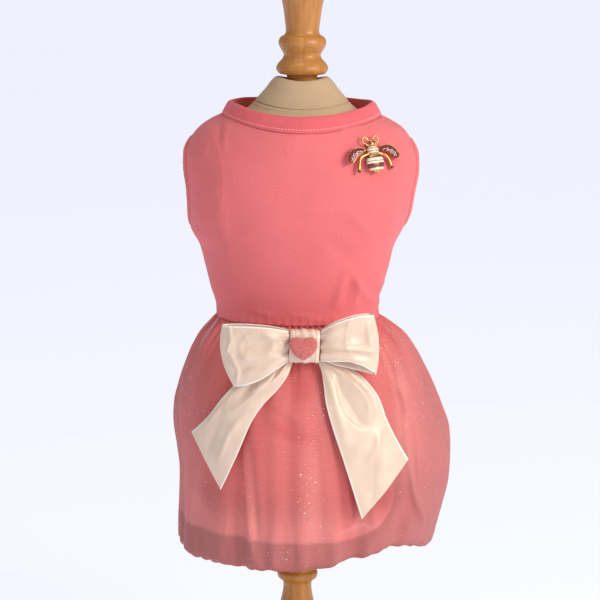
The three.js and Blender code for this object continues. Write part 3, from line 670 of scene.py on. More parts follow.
def crease_relief(x, z, creases):
    """How far listed creases lift the cloth. Each one: start, end, bend, rise, width."""
    relief = np.zeros(x.shape)
    for x0, z0, x1, z1, bend, rise, wide in creases:
        reach = abs(bend) + 3 * wide
        near = (x > min(x0, x1) - reach) & (x < max(x0, x1) + reach)
        near &= (z > min(z0, z1) - reach) & (z < max(z0, z1) + reach)
        if not near.any():
            continue
        length = math.hypot(x1 - x0, z1 - z0)
        side = np.array([-(z1 - z0), x1 - x0]) / length
        t = np.linspace(0, 1, 17)[:, None]
        line = np.array([x0, z0]) * (1 - t) + np.array([x1, z1]) * t + side * bend * 4 * t * (1 - t)
        place = np.stack([x[near], z[near]], -1)
        best = np.full(len(place), 1e9)
        at = np.zeros(len(place))
        for k in range(16):
            a, ab = line[k], line[k + 1] - line[k]
            share = np.clip(((place - a) @ ab) / (ab @ ab), 0, 1)
            gap = np.linalg.norm(place - a - share[:, None] * ab, axis=1)
            closer = gap < best
            best = np.where(closer, gap, best)
            at = np.where(closer, (k + share) / 16, at)
        relief[near] += rise * np.sin(np.pi * at) ** 0.7 * np.exp(-((best / wide) ** 2))
    return relief


def dimple_relief(x, z, dimples):
    """How far oval dimples press the cloth. Each one: place, half sizes, turn, rise, edge."""
    relief = np.zeros(x.shape)
    for x0, z0, half_x, half_z, turned, rise, edge in dimples:
        c, s = math.cos(math.radians(turned)), math.sin(math.radians(turned))
        right, up = (x - x0) * c + (z - z0) * s, (z - z0) * c - (x - x0) * s
        away = np.sqrt((right / half_x) ** 2 + (up / half_z) ** 2)
        relief += rise * (1 - smooth(away, 1 - edge, 1 + edge))
        relief -= 0.22 * rise * np.exp(-(((away - 1 - edge) / 0.16) ** 2))
    return relief


def grid_normals(grid):
    """Directions out of a closed grid whose rows go down and whose columns go round."""
    across = np.roll(grid, -1, 1) - np.roll(grid, 1, 1)
    normal = np.cross(np.gradient(grid, axis=0), across)
    return normal / np.maximum(np.linalg.norm(normal, axis=-1, keepdims=True), 1e-9)


test_crease = crease_relief(np.array([5.0]), np.array([0.0]), [(0, 0, 10, 0, 0, 1, 2)])
print("a crease's height at its middle:", test_crease)

# %% [markdown]
# ## Bodice
# The bodice is two jersey panels, sewn at the sides. Jersey is soft and clings to the form, so
# its creases are few and shallow: short pulls below the neckband, drag lines at the waist where
# the skirt's weight hangs, and small ripples beside the armholes, where the binding pulls the
# cloth in. Each panel is a fine grid between its seams, and it gets its creases before its wall.

# %% Panels' levels and seams
PANEL_TOP, PANEL_BOTTOM = 400.4, 270.3
SIDE_SEAM = 91
ARM_MIDDLE, ARM_HALF_HEIGHT, ARM_HALF_ANGLE, ARM_HALF_WIDTH = 357, 29, 20.5, 21.5
ARM_DEGREES_PER_MM = ARM_HALF_ANGLE / ARM_HALF_WIDTH


def panel_levels():
    """The rows of a panel, closest together beside the armhole."""
    top, bottom = ARM_MIDDLE + ARM_HALF_HEIGHT, ARM_MIDDLE - ARM_HALF_HEIGHT
    above = np.linspace(PANEL_TOP, top, 15)[:-1]
    beside = ARM_MIDDLE + ARM_HALF_HEIGHT * np.cos(np.linspace(0, np.pi, 61))
    below = np.linspace(bottom, PANEL_BOTTOM, 46)[1:]
    return np.concatenate([above, beside, below])


def armhole_line(side, turn, inward):
    """Angle and level of a line that runs round an armhole, so far inside its edge."""
    across = (ARM_HALF_ANGLE - inward * ARM_DEGREES_PER_MM) * np.sin(turn)
    return side * (SIDE_SEAM + across), ARM_MIDDLE + (ARM_HALF_HEIGHT - inward) * np.cos(turn)


def armhole_reach(level):
    """Half of the armhole's width at a level, in degrees."""
    off = np.clip((level - ARM_MIDDLE) / ARM_HALF_HEIGHT, -1, 1)
    return ARM_HALF_ANGLE * np.sqrt(1 - off * off)


LEVELS = panel_levels()
print("bodice rows:", len(LEVELS))

# %% Creases of the two panels
VIEWED_SIDE_CREASES = [
    (-50.5, 401, -51.5, 383, 0.3, -0.6, 1.4),
    (-46.8, 398, -47.8, 379, -0.2, 0.5, 1.9),
    (-63, 394, -64.6, 379, 0.5, -0.5, 1.4),
    (-59, 389, -61.5, 372, 0.4, 0.4, 1.8),
    (45, 401, 62, 393, 0.8, -0.8, 1.7),
    (46.5, 397.4, 64, 388.6, 1, 0.8, 2),
    (20, 396, 50, 388.6, 1.4, 0.9, 2.2),
    (-3, 386.4, 27, 391.4, 1.2, -0.6, 2.2),
    (-10, 383.4, -6.6, 376.6, 0, 0.5, 1.1),
    (-5.4, 383.8, -3.2, 377.6, 0, 0.42, 1),
    (28, 346, 47, 328.6, -1.2, 0.8, 2.6),
    (14, 330, 36, 312, -1.6, -0.7, 5),
    (31, 309.5, 21.5, 280.5, -1, 1.3, 2.6),
    (33, 305, 27.4, 283, 0.5, -0.8, 1.8),
    (37, 304, 33.6, 278, 0.2, 1, 2.2),
    (31, 309.5, 52, 278, -3.2, 1.5, 2.8),
    (37, 301, 56, 281.6, -2, -0.8, 2),
    (44, 300, 57, 291, -1, 0.6, 1.8),
    (-33, 279.4, -15, 275.6, 0.5, 0.6, 1.8),
    (-47, 292, -36, 277, 1.4, 0.6, 2.4),
    (-8, 277.6, 16, 275.2, -0.4, 0.5, 1.6),
    (-53.5, 366, -39.5, 288, -1.5, 1.1, 5.5),
    (56, 376, 52, 284, 2, 1.1, 5),
    (-66, 352, -57, 318, 1.2, 0.7, 2.6),
]
for step in range(12):
    sway = (0.8, -0.4, 0.3, -0.9, 0.6)[step % 5]
    z = 379 - 4.6 * step + sway
    x = 62.5 - 0.42 * step + sway * 0.6
    rise = 0.5 + 0.15 * ((step * 3) % 4)
    VIEWED_SIDE_CREASES.append((x - 4.4, z + 2.6, x + 4.6, z - 2.2, 0.4, rise, 1.2))
for step in range(7):
    z = 374 - 7.6 * step
    VIEWED_SIDE_CREASES.append((-69 + 0.5 * step, z, -64 + 0.6 * step, z - 3.4, 0.2, 0.3, 1.2))

BELLY_SIDE_CREASES = [
    (38, 398, 43, 380, 0.6, 0.4, 2),
    (-44, 400, -49, 384, 0.4, -0.4, 1.6),
    (-39, 396, -52, 386, -0.8, 0.4, 2),
    (8, 390, 31, 385, 0.9, 0.35, 2.1),
    (-21, 352, -40, 331, 1.6, 0.5, 2.6),
    (16, 340, 35, 322, -1.2, 0.4, 2.2),
    (-29, 311, -20, 281, 1, 0.8, 2.5),
    (-34, 306, -31, 279, 0.3, -0.45, 1.9),
    (-30, 311, -51, 282, 2.4, 0.9, 2.8),
    (26, 300, 20, 277, -0.6, 0.7, 2.2),
    (31, 304, 45, 279, 1.8, 0.7, 2.6),
    (7, 288, 2, 275, 0.4, 0.5, 2.2),
    (-9, 290, -6, 275, 0.2, 0.4, 1.9),
    (50, 362, 41, 296, 1.5, 0.8, 5),
    (-52, 358, -44, 300, -1.4, 0.8, 5),
]
print("creases:", len(VIEWED_SIDE_CREASES), len(BELLY_SIDE_CREASES))

# %% Make the panels
SEAM_HALF_GAP = 0.05


def bodice_panel(name, columns, creases, dimples, belly):
    """One panel, from side seam to side seam round the front or round the belly."""
    reach = armhole_reach(LEVELS)
    if belly:
        start = SIDE_SEAM + reach + SEAM_HALF_GAP
        end = 360 - start
    else:
        end = SIDE_SEAM - reach - SEAM_HALF_GAP
        start = -end
    share = np.linspace(0, 1, columns)
    angle = start[:, None] + (end - start)[:, None] * share
    level = np.broadcast_to(LEVELS[:, None], angle.shape)
    grid = bodice_surface(angle, level)
    x, z = grid[..., 0], grid[..., 2]
    out = out_of(bodice_surface, angle, level)
    relief = crease_relief(x, z, creases)
    waist = smooth(level, 280, 270) * 0.2
    relief = relief + waist * np.sin(np.radians(angle) * 58 + 1.7 * np.sin(np.radians(angle) * 5))
    from_edge = np.minimum(share, 1 - share) * (end - start)[:, None] * 1.2
    relief = relief + dimple_relief(x, z, dimples) - 0.4 * np.exp(-((from_edge / 1.0) ** 2))
    relief = relief + 0.12 * np.exp(-(((PANEL_TOP - level) / 1.2) ** 2))
    panel = cloth(name, grid + out * relief[..., None], jersey)
    thicken(panel, JERSEY_WALL)
    return panel


HOLLOWS = [(-4, 306, 27, 19, 24, -2.0, 0.9), (-62, 366, 7, 16, 8, -0.9, 0.9)]
BELLY_HOLLOWS = [(8, 312, 22, 24, -14, -1.6, 0.9)]
back_panel = bodice_panel("back_panel_cloth", 180, VIEWED_SIDE_CREASES, HOLLOWS, belly=False)
belly_panel = bodice_panel("belly_panel_cloth", 150, BELLY_SIDE_CREASES, BELLY_HOLLOWS, belly=True)
wear(back_panel, "jersey", "bodice_back_panel")
wear(belly_panel, "jersey", "bodice_belly_panel")

# %% [markdown]
# ## Bands and sewing
# The neckband is a strip of rib, folded double and sewn on with one row of stitches just above
# its seam. The armholes are bound with narrow strips of the jersey. A band is a soft section that
# runs round a closed line. A stitch is a short bead of thread, laid on the cloth at the machine's
# pitch.

# %% A section that runs round a closed line


def between(p0, p1, p2, p3, f):
    """The place on a smooth line from p1 to p2, with its neighbours p0 and p3."""
    bend = (2 * p0 - 5 * p1 + 4 * p2 - p3) * f**2 + (3 * p1 - p0 - 3 * p2 + p3) * f**3
    return 0.5 * (2 * p1 + (p2 - p0) * f + bend)


def rounded(outline, count):
    """A closed outline through a few points, smoothed into many."""
    points = np.array(outline, float)
    n = len(points)
    t = np.arange(count) * n / count
    i = t.astype(int)
    f = (t - i)[:, None]
    p0, p1, p2, p3 = (points[(i + k) % n] for k in (-1, 0, 1, 2))
    return between(p0, p1, p2, p3, f)


def hoop(name, stations, finish):
    """stations[i, k]: point k of the section at station i; both run round."""
    count, points = stations.shape[:2]
    whole = closed(closed(stations, 0), 1)
    index = closed(closed(np.arange(count * points).reshape(count, points), 0), 1)
    quads = corners(index).reshape(-1, 4)
    place = np.stack([running_length(whole, 0), running_length(whole, 1)], -1)
    place = corners(place).reshape(-1, 2)
    a, b, c = (stations.reshape(-1, 3)[quads[:, k]] for k in (0, 1, 2))
    if np.einsum("ij,ij->i", a, np.cross(b, c)).sum() < 0:
        quads, place = quads[:, ::-1], place.reshape(-1, 4, 2)[:, ::-1].reshape(-1, 2)
    return mesh_from(name, stations.reshape(-1, 3), quads, place, finish)


print("rounded square has", len(rounded([(0, 0), (1, 0), (1, 1), (0, 1)], 16)), "points")

# %% Neckband
NECK_EDGES = table("half front back side z_front z_back", [  # the lower edge, the upper edge
    (50, 50, 47.4, 401, 393, 400.6),
    (46.2, 45.4, 43.2, 408.6, 401.9, 408),
])
NECK_SECTION = [
    (0, -0.7), (-0.02, 0.05), (-0.085, 0.22), (-0.085, 0.4), (0, 0.6), (0.12, 0.58), (0.3, 0.6),
    (0.75, 0.4), (0.97, -0.4), (1, -1.1), (0.94, -1.9), (0.5, -2.2), (0.06, -2.2),
]


def neck_point(angle, height, out):
    """A place on the band: how high in it, from 0 to 1, and how far out."""
    edges = {name: low + (high - low) * height for name, (low, high) in NECK_EDGES.items()}
    z = sagged(angle, edges["side"], edges["z_front"], edges["z_back"])
    return section(angle, z, *(edges[name] + out for name in ("half", "front", "back")))


neck_angles = np.linspace(0, 360, 220, endpoint=False)[:, None]
neck_shape = rounded(NECK_SECTION, 39)
a = np.radians(neck_angles)
neck_height = neck_shape[:, 0] * (1 + 0.02 * np.sin(5 * a + 0.6) + 0.012 * np.sin(11 * a))
neck_out = neck_shape[:, 1] + 0.12 * np.sin(7 * a) * neck_shape[:, 0] + 0.06 * np.sin(31 * a)
neckband_rib = hoop("neckband_rib", neck_point(neck_angles, neck_height, neck_out), rib)
wear(neckband_rib, "rib", "neckband")

# %% Armhole bindings
SIDES = ((-1, "left"), (1, "right"))
BINDING_SECTION = [
    (0.3, -1.2), (0.3, -0.2), (0.7, 0.28), (1.9, 0.5), (4.6, 0.55), (5.8, 0.3), (6.2, -0.2),
    (5.9, -0.8), (5.2, -1.2), (3, -1.2),
]
binding_shape = rounded(BINDING_SECTION, 26)


def binding(name, side):
    turn = np.linspace(0, 2 * np.pi, 150, endpoint=False)[:, None]
    inward, out = binding_shape[:, 0], binding_shape[:, 1]
    pucker = 0.10 * np.sin(37 * turn + 1.3 * np.sin(3 * turn)) * (out > 0)
    line = moved(bodice_surface, *armhole_line(side, turn, inward), out + pucker)
    return hoop(name, line, jersey)


bindings = {}
for side, name in SIDES:
    bindings[name] = binding("armhole_binding_" + name, side)
    wear(bindings[name], "rib", "armhole_band_" + name)

# %% Stitches
ARM_STITCH_ROW = 4.9


def stitches(name, line, out, length, radius, pitch):
    """Beads of thread along a line of points, one a pitch."""
    reach = running_length(line, 0)
    count = int(reach[-1] / pitch)
    at = (np.arange(count) + 0.5) * reach[-1] / count

    def pick(values, where):
        return np.stack([np.interp(where, reach, values[:, k]) for k in range(3)], -1)

    middle, normal = pick(line, at), unit(pick(out, at))
    along_it = unit(pick(line, at + 0.3) - pick(line, at - 0.3))
    side = np.cross(normal, along_it)
    ring = np.linspace(0, 2 * np.pi, 6, endpoint=False)
    shape = [(-0.5, 0.25), (-0.36, 0.85), (0, 1.0), (0.36, 0.85), (0.5, 0.25)]
    points = []
    for share, thick in shape:
        centre = middle + along_it * share * length - normal * (1 - thick) * radius
        for angle in ring:
            away = math.cos(angle) * normal + math.sin(angle) * side
            points.append(centre + radius * thick * away)
    pairs = [(row * 6 + k, row * 6 + (k + 1) % 6) for row in range(4) for k in range(6)]
    faces = [(a, b, b + 6, a + 6) for a, b in pairs]
    faces += [(0, 1, 2, 3), (3, 4, 5, 0), (27, 26, 25, 24), (24, 29, 28, 27)]
    quads = repeated(np.array(faces)[:, ::-1], count, len(points))
    points = np.stack(points, 1).reshape(-1, 3)
    made = mesh_from(name, points, quads, np.zeros((quads.size, 2)), thread_finish.material)
    print(name, "stitches:", count)
    wear(made, "rib")


neck_line = neck_point(np.linspace(0, 360, 361), 0.13, 0.66)
stitches("neckband_stitches", neck_line, neck_line * (1, 1, 0), 1.5, 0.28, 2.2)
for side, name in SIDES:
    place = armhole_line(side, np.linspace(0, 2 * np.pi, 241), ARM_STITCH_ROW)
    line, out = moved(bodice_surface, *place, 0.5), out_of(bodice_surface, *place)
    stitches("armhole_stitches_" + name, line, out, 1.4, 0.2, 2.4)

# %% [markdown]
# ## Skirt
# The lining hangs inside and ends in a loose rounded hem. The tulle is gathered into the waist,
# so it starts in small tight pleats, which join into a few large folds lower down. At the bottom
# it turns under. Tulle is see-through, so it stays one layer of net here: a second wall so close
# behind the first would only double the net. Two attributes go to its finish: where the net lies
# double, and a painted shade where no lining is behind it, so that it is darker there.

# %% Lining
lining_levels = np.concatenate([np.linspace(269.6, 139, 88), np.linspace(138.4, LINING_HEM, 5)])
angle, level = np.meshgrid(np.linspace(-180, 180, 240, endpoint=False), lining_levels)
grid = lining_surface(angle, level)
a = np.radians(angle)
drape = 0.7 * np.sin(9 * a + 1.2 * np.sin(2 * a)) * smooth(level, 262, 200)
drape += 0.5 * np.sin(23 * a + 2 * np.sin(3 * a)) * smooth(level, 190, 150)
drape += 0.45 * np.sin(61 * a + np.sin(4 * a)) * smooth(level, 236, 266)
drape -= 0.4 * np.exp(-(((level - 144) / 1.4) ** 2))
grid = grid + grid_normals(grid) * drape[..., None]
skirt_lining = cloth("skirt_lining_cloth", grid, lining_cloth, ring=True)
thicken(skirt_lining, LINING_WALL)
wear(skirt_lining, "lining", "skirt_lining")

# %% Tulle creases
FRONT_FOLDS = [
    (-34.6, 206, -28.8, 122, 0.6, 2.6, 1.7),
    (-31, 204, -24.6, 122, 0.6, -1.3, 2.4),
    (-60.8, 192, -67, 138, -1, 1.3, 2),
    (-56, 198, -61, 146, -1, -0.7, 2.4),
    (-51, 268, -69, 208, -3, 1.1, 2.2),
    (-45, 266, -60, 196, -2.6, 1, 2),
    (-56, 264, -75, 214, -3.4, -0.8, 1.8),
    (48.8, 260, 66, 226, -3, 2.2, 2.2),
    (66, 228, 82, 138, -5, 2.8, 2),
    (58.7, 252, 74.5, 200, -2, 2, 2),
    (74, 204, 80, 138, -1, 1.2, 1.7),
    (57, 250, 70, 214, -3, -0.9, 1.8),
    (86, 196, 91, 150, 2, -1.3, 2.6),
    (15.6, 234, 28.8, 133, 3, -2.6, 2.6),
    (24, 222, 34, 136, 2, 1.6, 2.6),
    (10.5, 228, 18.6, 140, 2, 0.8, 2.4),
    (-14, 226, 12, 214, -3.4, 2, 3.6),
    (-22, 212, 2, 204, -3, -0.7, 3),
    (-6, 250, -12, 218, 1.6, 0.7, 2.2),
    (4, 250, 8, 226, -1, 0.6, 1.8),
    (-20, 246, -31, 214, 2, 0.7, 2.2),
    (42, 170, 50, 134, 1.6, 0.8, 2.2),
    (-44, 160, -48, 124, 1, 0.7, 2.2),
    (-8, 158, -4, 122, 0.8, 0.6, 2.4),
]
MM_PER_DEGREE = 1.25
ROUND_FOLDS = [  # places are measured round from the front, so many mm for each degree
    (128, 262, 140, 206, 3, 1.3, 2.2),
    (118, 240, 124, 150, -2, 1.2, 2),
    (146, 226, 152, 128, 2, -1.2, 2.6),
    (163, 258, 172, 190, -3, 1.2, 2.2),
    (181, 214, 186, 124, 2, 1.4, 2),
    (196, 260, 204, 200, 3, 1.1, 2.2),
    (213, 232, 208, 126, -2, -1.2, 2.6),
    (-128, 262, -141, 200, 3, 1.2, 2.2),
    (-122, 226, -126, 136, 2, 1.2, 1.9),
    (-150, 250, -158, 168, -3, 1.3, 2.4),
    (-171, 236, -166, 126, 2, 1.3, 2),
    (-184, 258, -195, 196, 3, 1.1, 2.2),
    (-206, 224, -201, 124, -2, 1.2, 2.2),
    (-219, 254, -212, 182, 2, -1.1, 2.4),
    (104, 252, 110, 186, 2, 1, 2),
    (-104, 248, -112, 176, -2, 1.1, 2.2),
]
DOUBLE_NET = [  # where the net lies double, and below 0 where it lies close on the lining
    (-31.5, 208, -26.4, 120, 0.6, 0.9, 3.2),
    (6, 214, 10, 124, 1, 0.7, 7),
    (50, 264, 69, 226, -3, 0.9, 4.2),
    (63, 244, 80, 150, -5, 0.9, 4.5),
    (12, 240, 15, 214, -1, 0.6, 3.4),
    (-60, 192, -66, 136, -1, 0.6, 3.6),
    (24, 236, 31, 132, 2.6, -1, 4.6),
    (1, 252, 3, 226, 0, -0.9, 7),
    (-18, 214, 14, 206, -3, -0.7, 4),
    (-24, 230, -30, 170, 1, -0.4, 5),
    (-34, 160, -38, 128, 0, 0.4, 6),
    (48, 196, 60, 140, 1, -0.4, 6),
]
print("skirt folds:", len(FRONT_FOLDS) + len(ROUND_FOLDS))

# %% Tulle skirt
TULLE_FLAT_WIDTH = 620.0
TULLE_COLUMNS = 460
SEEN_HEM = 138
TURNED_UNDER = [  # above the hem, inwards
    (-0.7, -1.4), (-0.2, -3), (1.6, -4.2), (4.4, -4.8), (9, -5), (15, -4.4),
]
steps = [np.linspace(270, 262, 12)[:-1], np.linspace(262, 124, 100)[:-1]]
tulle_levels = np.concatenate([*steps, np.linspace(124, SKIRT_HEM, 7)])
angle, level = np.meshgrid(np.linspace(-180, 180, TULLE_COLUMNS, endpoint=False), tulle_levels)
grid = skirt_surface(angle, level)
a = np.radians(angle)
pleats = 0.75 * np.sin(74 * a + 2.2 * np.sin(4 * a) + 1.1 * np.sin(7 * a)) * smooth(level, 226, 264)
pleats += 0.25 * np.sin(131 * a + 3 * np.sin(5 * a)) * smooth(level, 250, 268)
x, y, z = np.moveaxis(grid, -1, 0)
relief = crease_relief(x, z, FRONT_FOLDS) * smooth(-y, 4, 22)
relief += crease_relief(angle * MM_PER_DEGREE, z, ROUND_FOLDS)
ripple = 0.35 * np.sin(47 * a + 3 * np.sin(2 * a) + level * 0.05) * smooth(level, 150, 122)
grid = grid + grid_normals(grid) * (pleats + relief + ripple)[..., None]
edge_wave = 0.5 * np.sin(13 * a + 2.4 * np.sin(3 * a)) + 0.25 * np.sin(43 * a + 2 * np.sin(5 * a))
grid[..., 2] += edge_wave * smooth(level, 128, SKIRT_HEM)
hem = grid[-1]
outward = unit(hem * (1, 1, 0))
under = [hem + outward * out + np.array([0, 0, up]) for up, out in TURNED_UNDER]
tulle_grid = np.concatenate([grid, np.stack(under)], 0)
across = np.linspace(-0.5, 0.5, TULLE_COLUMNS + 1) * TULLE_FLAT_WIDTH
across = across + np.zeros((len(tulle_grid), 1))
down = arcs(tulle_grid, True)[1].mean(1, keepdims=True) + 0 * across
tulle_skirt = cloth("tulle_skirt", tulle_grid, tulle.material, ring=True, uv=(across, down))

x, y, z = np.moveaxis(tulle_grid, -1, 0)
turn = a[0]
double = crease_relief(x, z, DOUBLE_NET) * smooth(-y, 4, 22)
double = double + 0.6 * np.sin(9 * turn + 2 * np.sin(4 * turn) + 1) * smooth(y, 0, 30)
# Painted shade for the net's finish: darker below the lining's edge as seen from the front, along
# one corner of the lining, below the hem line and at the sides.
corner = np.clip((x - 25) / 35.5, 0, 0.999)
lining_edge = SEEN_HEM + 1.5 * smooth(-x, 14, 56) + 30 * (1 - np.sqrt(1 - corner**2))
below_edge = smooth(lining_edge - z, -1.2, 1.2) * smooth(-y, -10, 6)
painted_shade = below_edge * (0.9 - 0.25 * smooth(x, 56, 63))
for shade in (
    0.7 * smooth(x, 58.5, 61.5) * smooth(220 - z, 0, 56),
    0.7 * smooth(SEEN_HEM - z, -1.2, 1.2),
    0.6 * smooth(np.abs(x) + 0.1 * (z - 180), 68, 88),
):
    painted_shade = np.maximum(painted_shade, shade)
for name, values in (("double_net", np.clip(double, -1, 1)), ("painted_shade_net", painted_shade)):
    attribute = tulle_skirt.data.attributes.new(name, "FLOAT", "POINT")
    attribute.data.foreach_set("value", values.ravel())
wear(tulle_skirt, "tulle", "skirt_tulle")

# %% [markdown]
# ## Glitter
# The glitter is printed on the net as short flakes in level rows. It shows only where a flake
# happens to face the light. Each flake here is a small flat octahedron, tilted at random from a
# fixed seed, and all of them are one mesh.

# %% Glitter flakes
rng = np.random.default_rng(41)
GLITTER_BANDS = [  # x, height, half sizes across and up, share of flakes kept
    (8, 172, 6, 36, 0.9),
    (6.5, 205, 6, 9, 1),
    (17, 230, 3, 9, 0.8),
    (54, 256, 6, 12, 0.9),
    (63, 240, 5, 13, 0.9),
    (74, 214, 5, 12, 0.8),
    (-16, 131, 12, 4, 0.9),
    (-30, 160, 5, 30, 0.35),
    (-64, 214, 6, 26, 0.25),
]
OUTER_ROWS, TRIES, SCATTERED, BEHIND = 118, 16000, 0.03, 0.3
FLAKE_LIFT, FLAKE_HALF_THICK = 0.3, 0.09
normals = grid_normals(tulle_grid[:OUTER_ROWS])
row = rng.uniform(8, OUTER_ROWS - 5, TRIES)
column = rng.integers(0, TULLE_COLUMNS, TRIES)
row_low = row.astype(int)
share = (row - row_low)[:, None]
place = tulle_grid[row_low, column] * (1 - share) + tulle_grid[row_low + 1, column] * share
keep = np.full(TRIES, SCATTERED)
for x, z, half_x, half_z, dense in GLITTER_BANDS:
    near = np.exp(-(((place[:, 0] - x) / half_x) ** 2) - ((place[:, 2] - z) / half_z) ** 2)
    keep = np.maximum(keep, dense * near * (place[:, 1] < 0))
rows_behind = np.abs(np.sin(place[:, 0] * 0.11 + 1)) ** 6
keep = np.maximum(keep, BEHIND * (place[:, 1] > 0) * rows_behind)
kept = rng.uniform(0, 1, TRIES) < keep
place, normal = place[kept], normals[row_low, column][kept]
flake_count = len(place)
level_line = unit(np.cross(normal, (0, 0, 1.0)))
upward = np.cross(level_line, normal)
tilt = rng.normal(0, 0.35, (flake_count, 2))
facing = unit(normal + level_line * tilt[:, :1] + upward * tilt[:, 1:])
long_way = unit(np.cross(upward, facing))
long_tip = long_way * rng.uniform(0.3, 1.1, (flake_count, 1))
short_tip = np.cross(facing, long_way) * rng.uniform(0.10, 0.16, (flake_count, 1))
face_tip = facing * FLAKE_HALF_THICK
tips = [long_tip, short_tip, -long_tip, -short_tip, face_tip, -face_tip]
points = np.stack([place + normal * FLAKE_LIFT + tip for tip in tips], 1).reshape(-1, 3)
octahedron = [(k, (k + 1) % 4, 4) for k in range(4)] + [((k + 1) % 4, k, 5) for k in range(4)]
triangles = repeated(np.array(octahedron), flake_count, len(tips))
no_uv = np.zeros((triangles.size, 2))
flakes = mesh_from("glitter_flakes", points, triangles, no_uv, glitter.material)
flakes.data.shade_flat()
print("flakes:", flake_count)
wear(flakes, "tulle")

# %% [markdown]
# ## Bow
# The bow is one satin ribbon, 38 mm wide. Each loop runs out in front, turns and comes back
# behind. The tails lie on the skirt, and a short wrap holds the middle. Satin is stiff enough to
# keep a few broad dents, and those dents are what its shine shows. Each ribbon has a fine round
# edge.

# %% Ribbon tables
LEFT_LOOP = table("x middle spread depth plane lean curl", [
    (-6.6, 262.2, 0.5, 5, -65.4, 0, 0),
    (-16, 260.6, 0.7, 8.4, -66.5, 0.8, 0.4),
    (-27, 258.2, 0.88, 9.6, -66.4, 2, 1.4),
    (-37.5, 256.4, 0.98, 8.6, -65, 3, 2.8),
    (-44.4, 255.6, 1, 6, -63.2, 3.5, 4.1),
])
RIGHT_LOOP = table("x middle spread depth plane lean curl", [
    (12.8, 262.4, 0.5, 5, -65.4, 0, 0),
    (21, 263.4, 0.7, 8.2, -66, 0, 0.3),
    (31, 263.8, 0.86, 9.4, -65.2, -0.4, 1),
    (40, 263.4, 0.96, 8.4, -63.4, -0.8, 1.9),
    (46.2, 262.6, 1, 6, -61.6, -1, 2.7),
])
LEFT_TAIL = table("inner_x inner_z outer_x outer_z", [
    (-3.5, 253.0, -9.5, 258.0),
    (-7.0, 243.5, -22.0, 249.5),
    (-13.5, 234.5, -36.5, 240.0),
    (-22.5, 224.8, -47.5, 228.5),
    (-30.0, 213.0, -55.0, 218.0),
    (-37.8, 194.0, -62.0, 209.5),
    (-48.6, 168.6, -67.6, 203.6),
])
RIGHT_TAIL = table("inner_x inner_z outer_x outer_z", [
    (10.5, 253.0, 15.0, 258.0),
    (13.6, 245.5, 26.0, 250.5),
    (15.2, 236.5, 38.5, 242.5),
    (16.8, 225.5, 49.0, 230.0),
    (21.5, 209.5, 55.0, 215.0),
    (28.5, 189.0, 61.5, 202.0),
    (39.8, 153.0, 69.1, 188.6),
])
RIBBON_WIDTH = 38.0
print("ribbon width in mm:", RIBBON_WIDTH)

# %% A ribbon with its round edges


def through(values, count):
    """A smooth line through rows of values, as many points as asked."""
    values = np.array(values, float)
    last = len(values) - 1
    t = np.linspace(0, last, count)
    i = np.clip(t.astype(int), 0, last - 1)
    f = (t - i)[:, None]
    padded = np.concatenate([2 * values[:1] - values[1:2], values, 2 * values[-1:] - values[-2:-1]])
    p0, p1, p2, p3 = (padded[i + k] for k in range(4))
    return between(p0, p1, p2, p3, f)


def ribbon(name, grid, node, across_mm):
    """A satin ribbon from a grid whose columns go across it."""
    down = arcs(grid, False)[1]
    across = np.broadcast_to(across_mm, grid.shape[:2])
    piece = cloth(name, grid, satin.material, uv=(across, down))
    thicken(piece, RIBBON_WALL)
    edit(piece)
    face_outwards()
    done()
    wear(piece, "satin", node)
    return piece


print("a line through three rows:", through([(0, 0), (1, 1), (2, 0)], 5).round(2).tolist())

# %% Loops
RIBBON_ROWS, RIBBON_COLUMNS = 130, 61
LOOP_SHARES = np.linspace(-1, 1, RIBBON_COLUMNS)
LEFT_CREASES = [
    (-43.6, 275, -42, 264.4, 0.4, 1.1, 1),
    (-41.8, 266.4, -44.4, 257.6, -0.3, 1.1, 1),
    (-44.6, 260, -37.2, 246, 0.6, 1.2, 1.1),
    (-37.6, 248.4, -38.8, 237, 0.2, 1, 1),
    (-41, 252.6, -10, 255.4, 3, 1.5, 2.4),
    (-40, 246, -12, 250, 2, -0.9, 3),
    (-9, 262, -24, 271, -2, 0.9, 2.4),
    (-9, 266.6, -20, 271.4, -0.6, -0.6, 2),
    (-34, 244, -24, 251, 0.6, 0.7, 2.4),
]
LEFT_DIMPLES = [(-26.6, 262.6, 7.4, 5.8, 20, -1.5, 0.45), (-36.6, 262, 3.4, 6.4, 0, -0.7, 0.6)]
RIGHT_CREASES = [
    (12, 261.6, 49, 258, 1.2, 1.5, 1.5),
    (12, 258.4, 48, 254.8, 1.4, -1.3, 2.4),
    (13, 264.4, 27, 273.5, 1.4, 1.2, 2.2),
    (14, 262.8, 31, 267.5, 1.4, -0.8, 2.2),
    (42.6, 278, 44.6, 262, -1, 0.8, 1.6),
    (20, 256.2, 42, 251.6, 0.6, 0.7, 1.8),
]
RIGHT_DIMPLES = [(37.6, 271.0, 5.4, 8.4, -14, -1.3, 0.7), (20.4, 266.2, 4.6, 2.8, 24, 0.7, 0.7)]


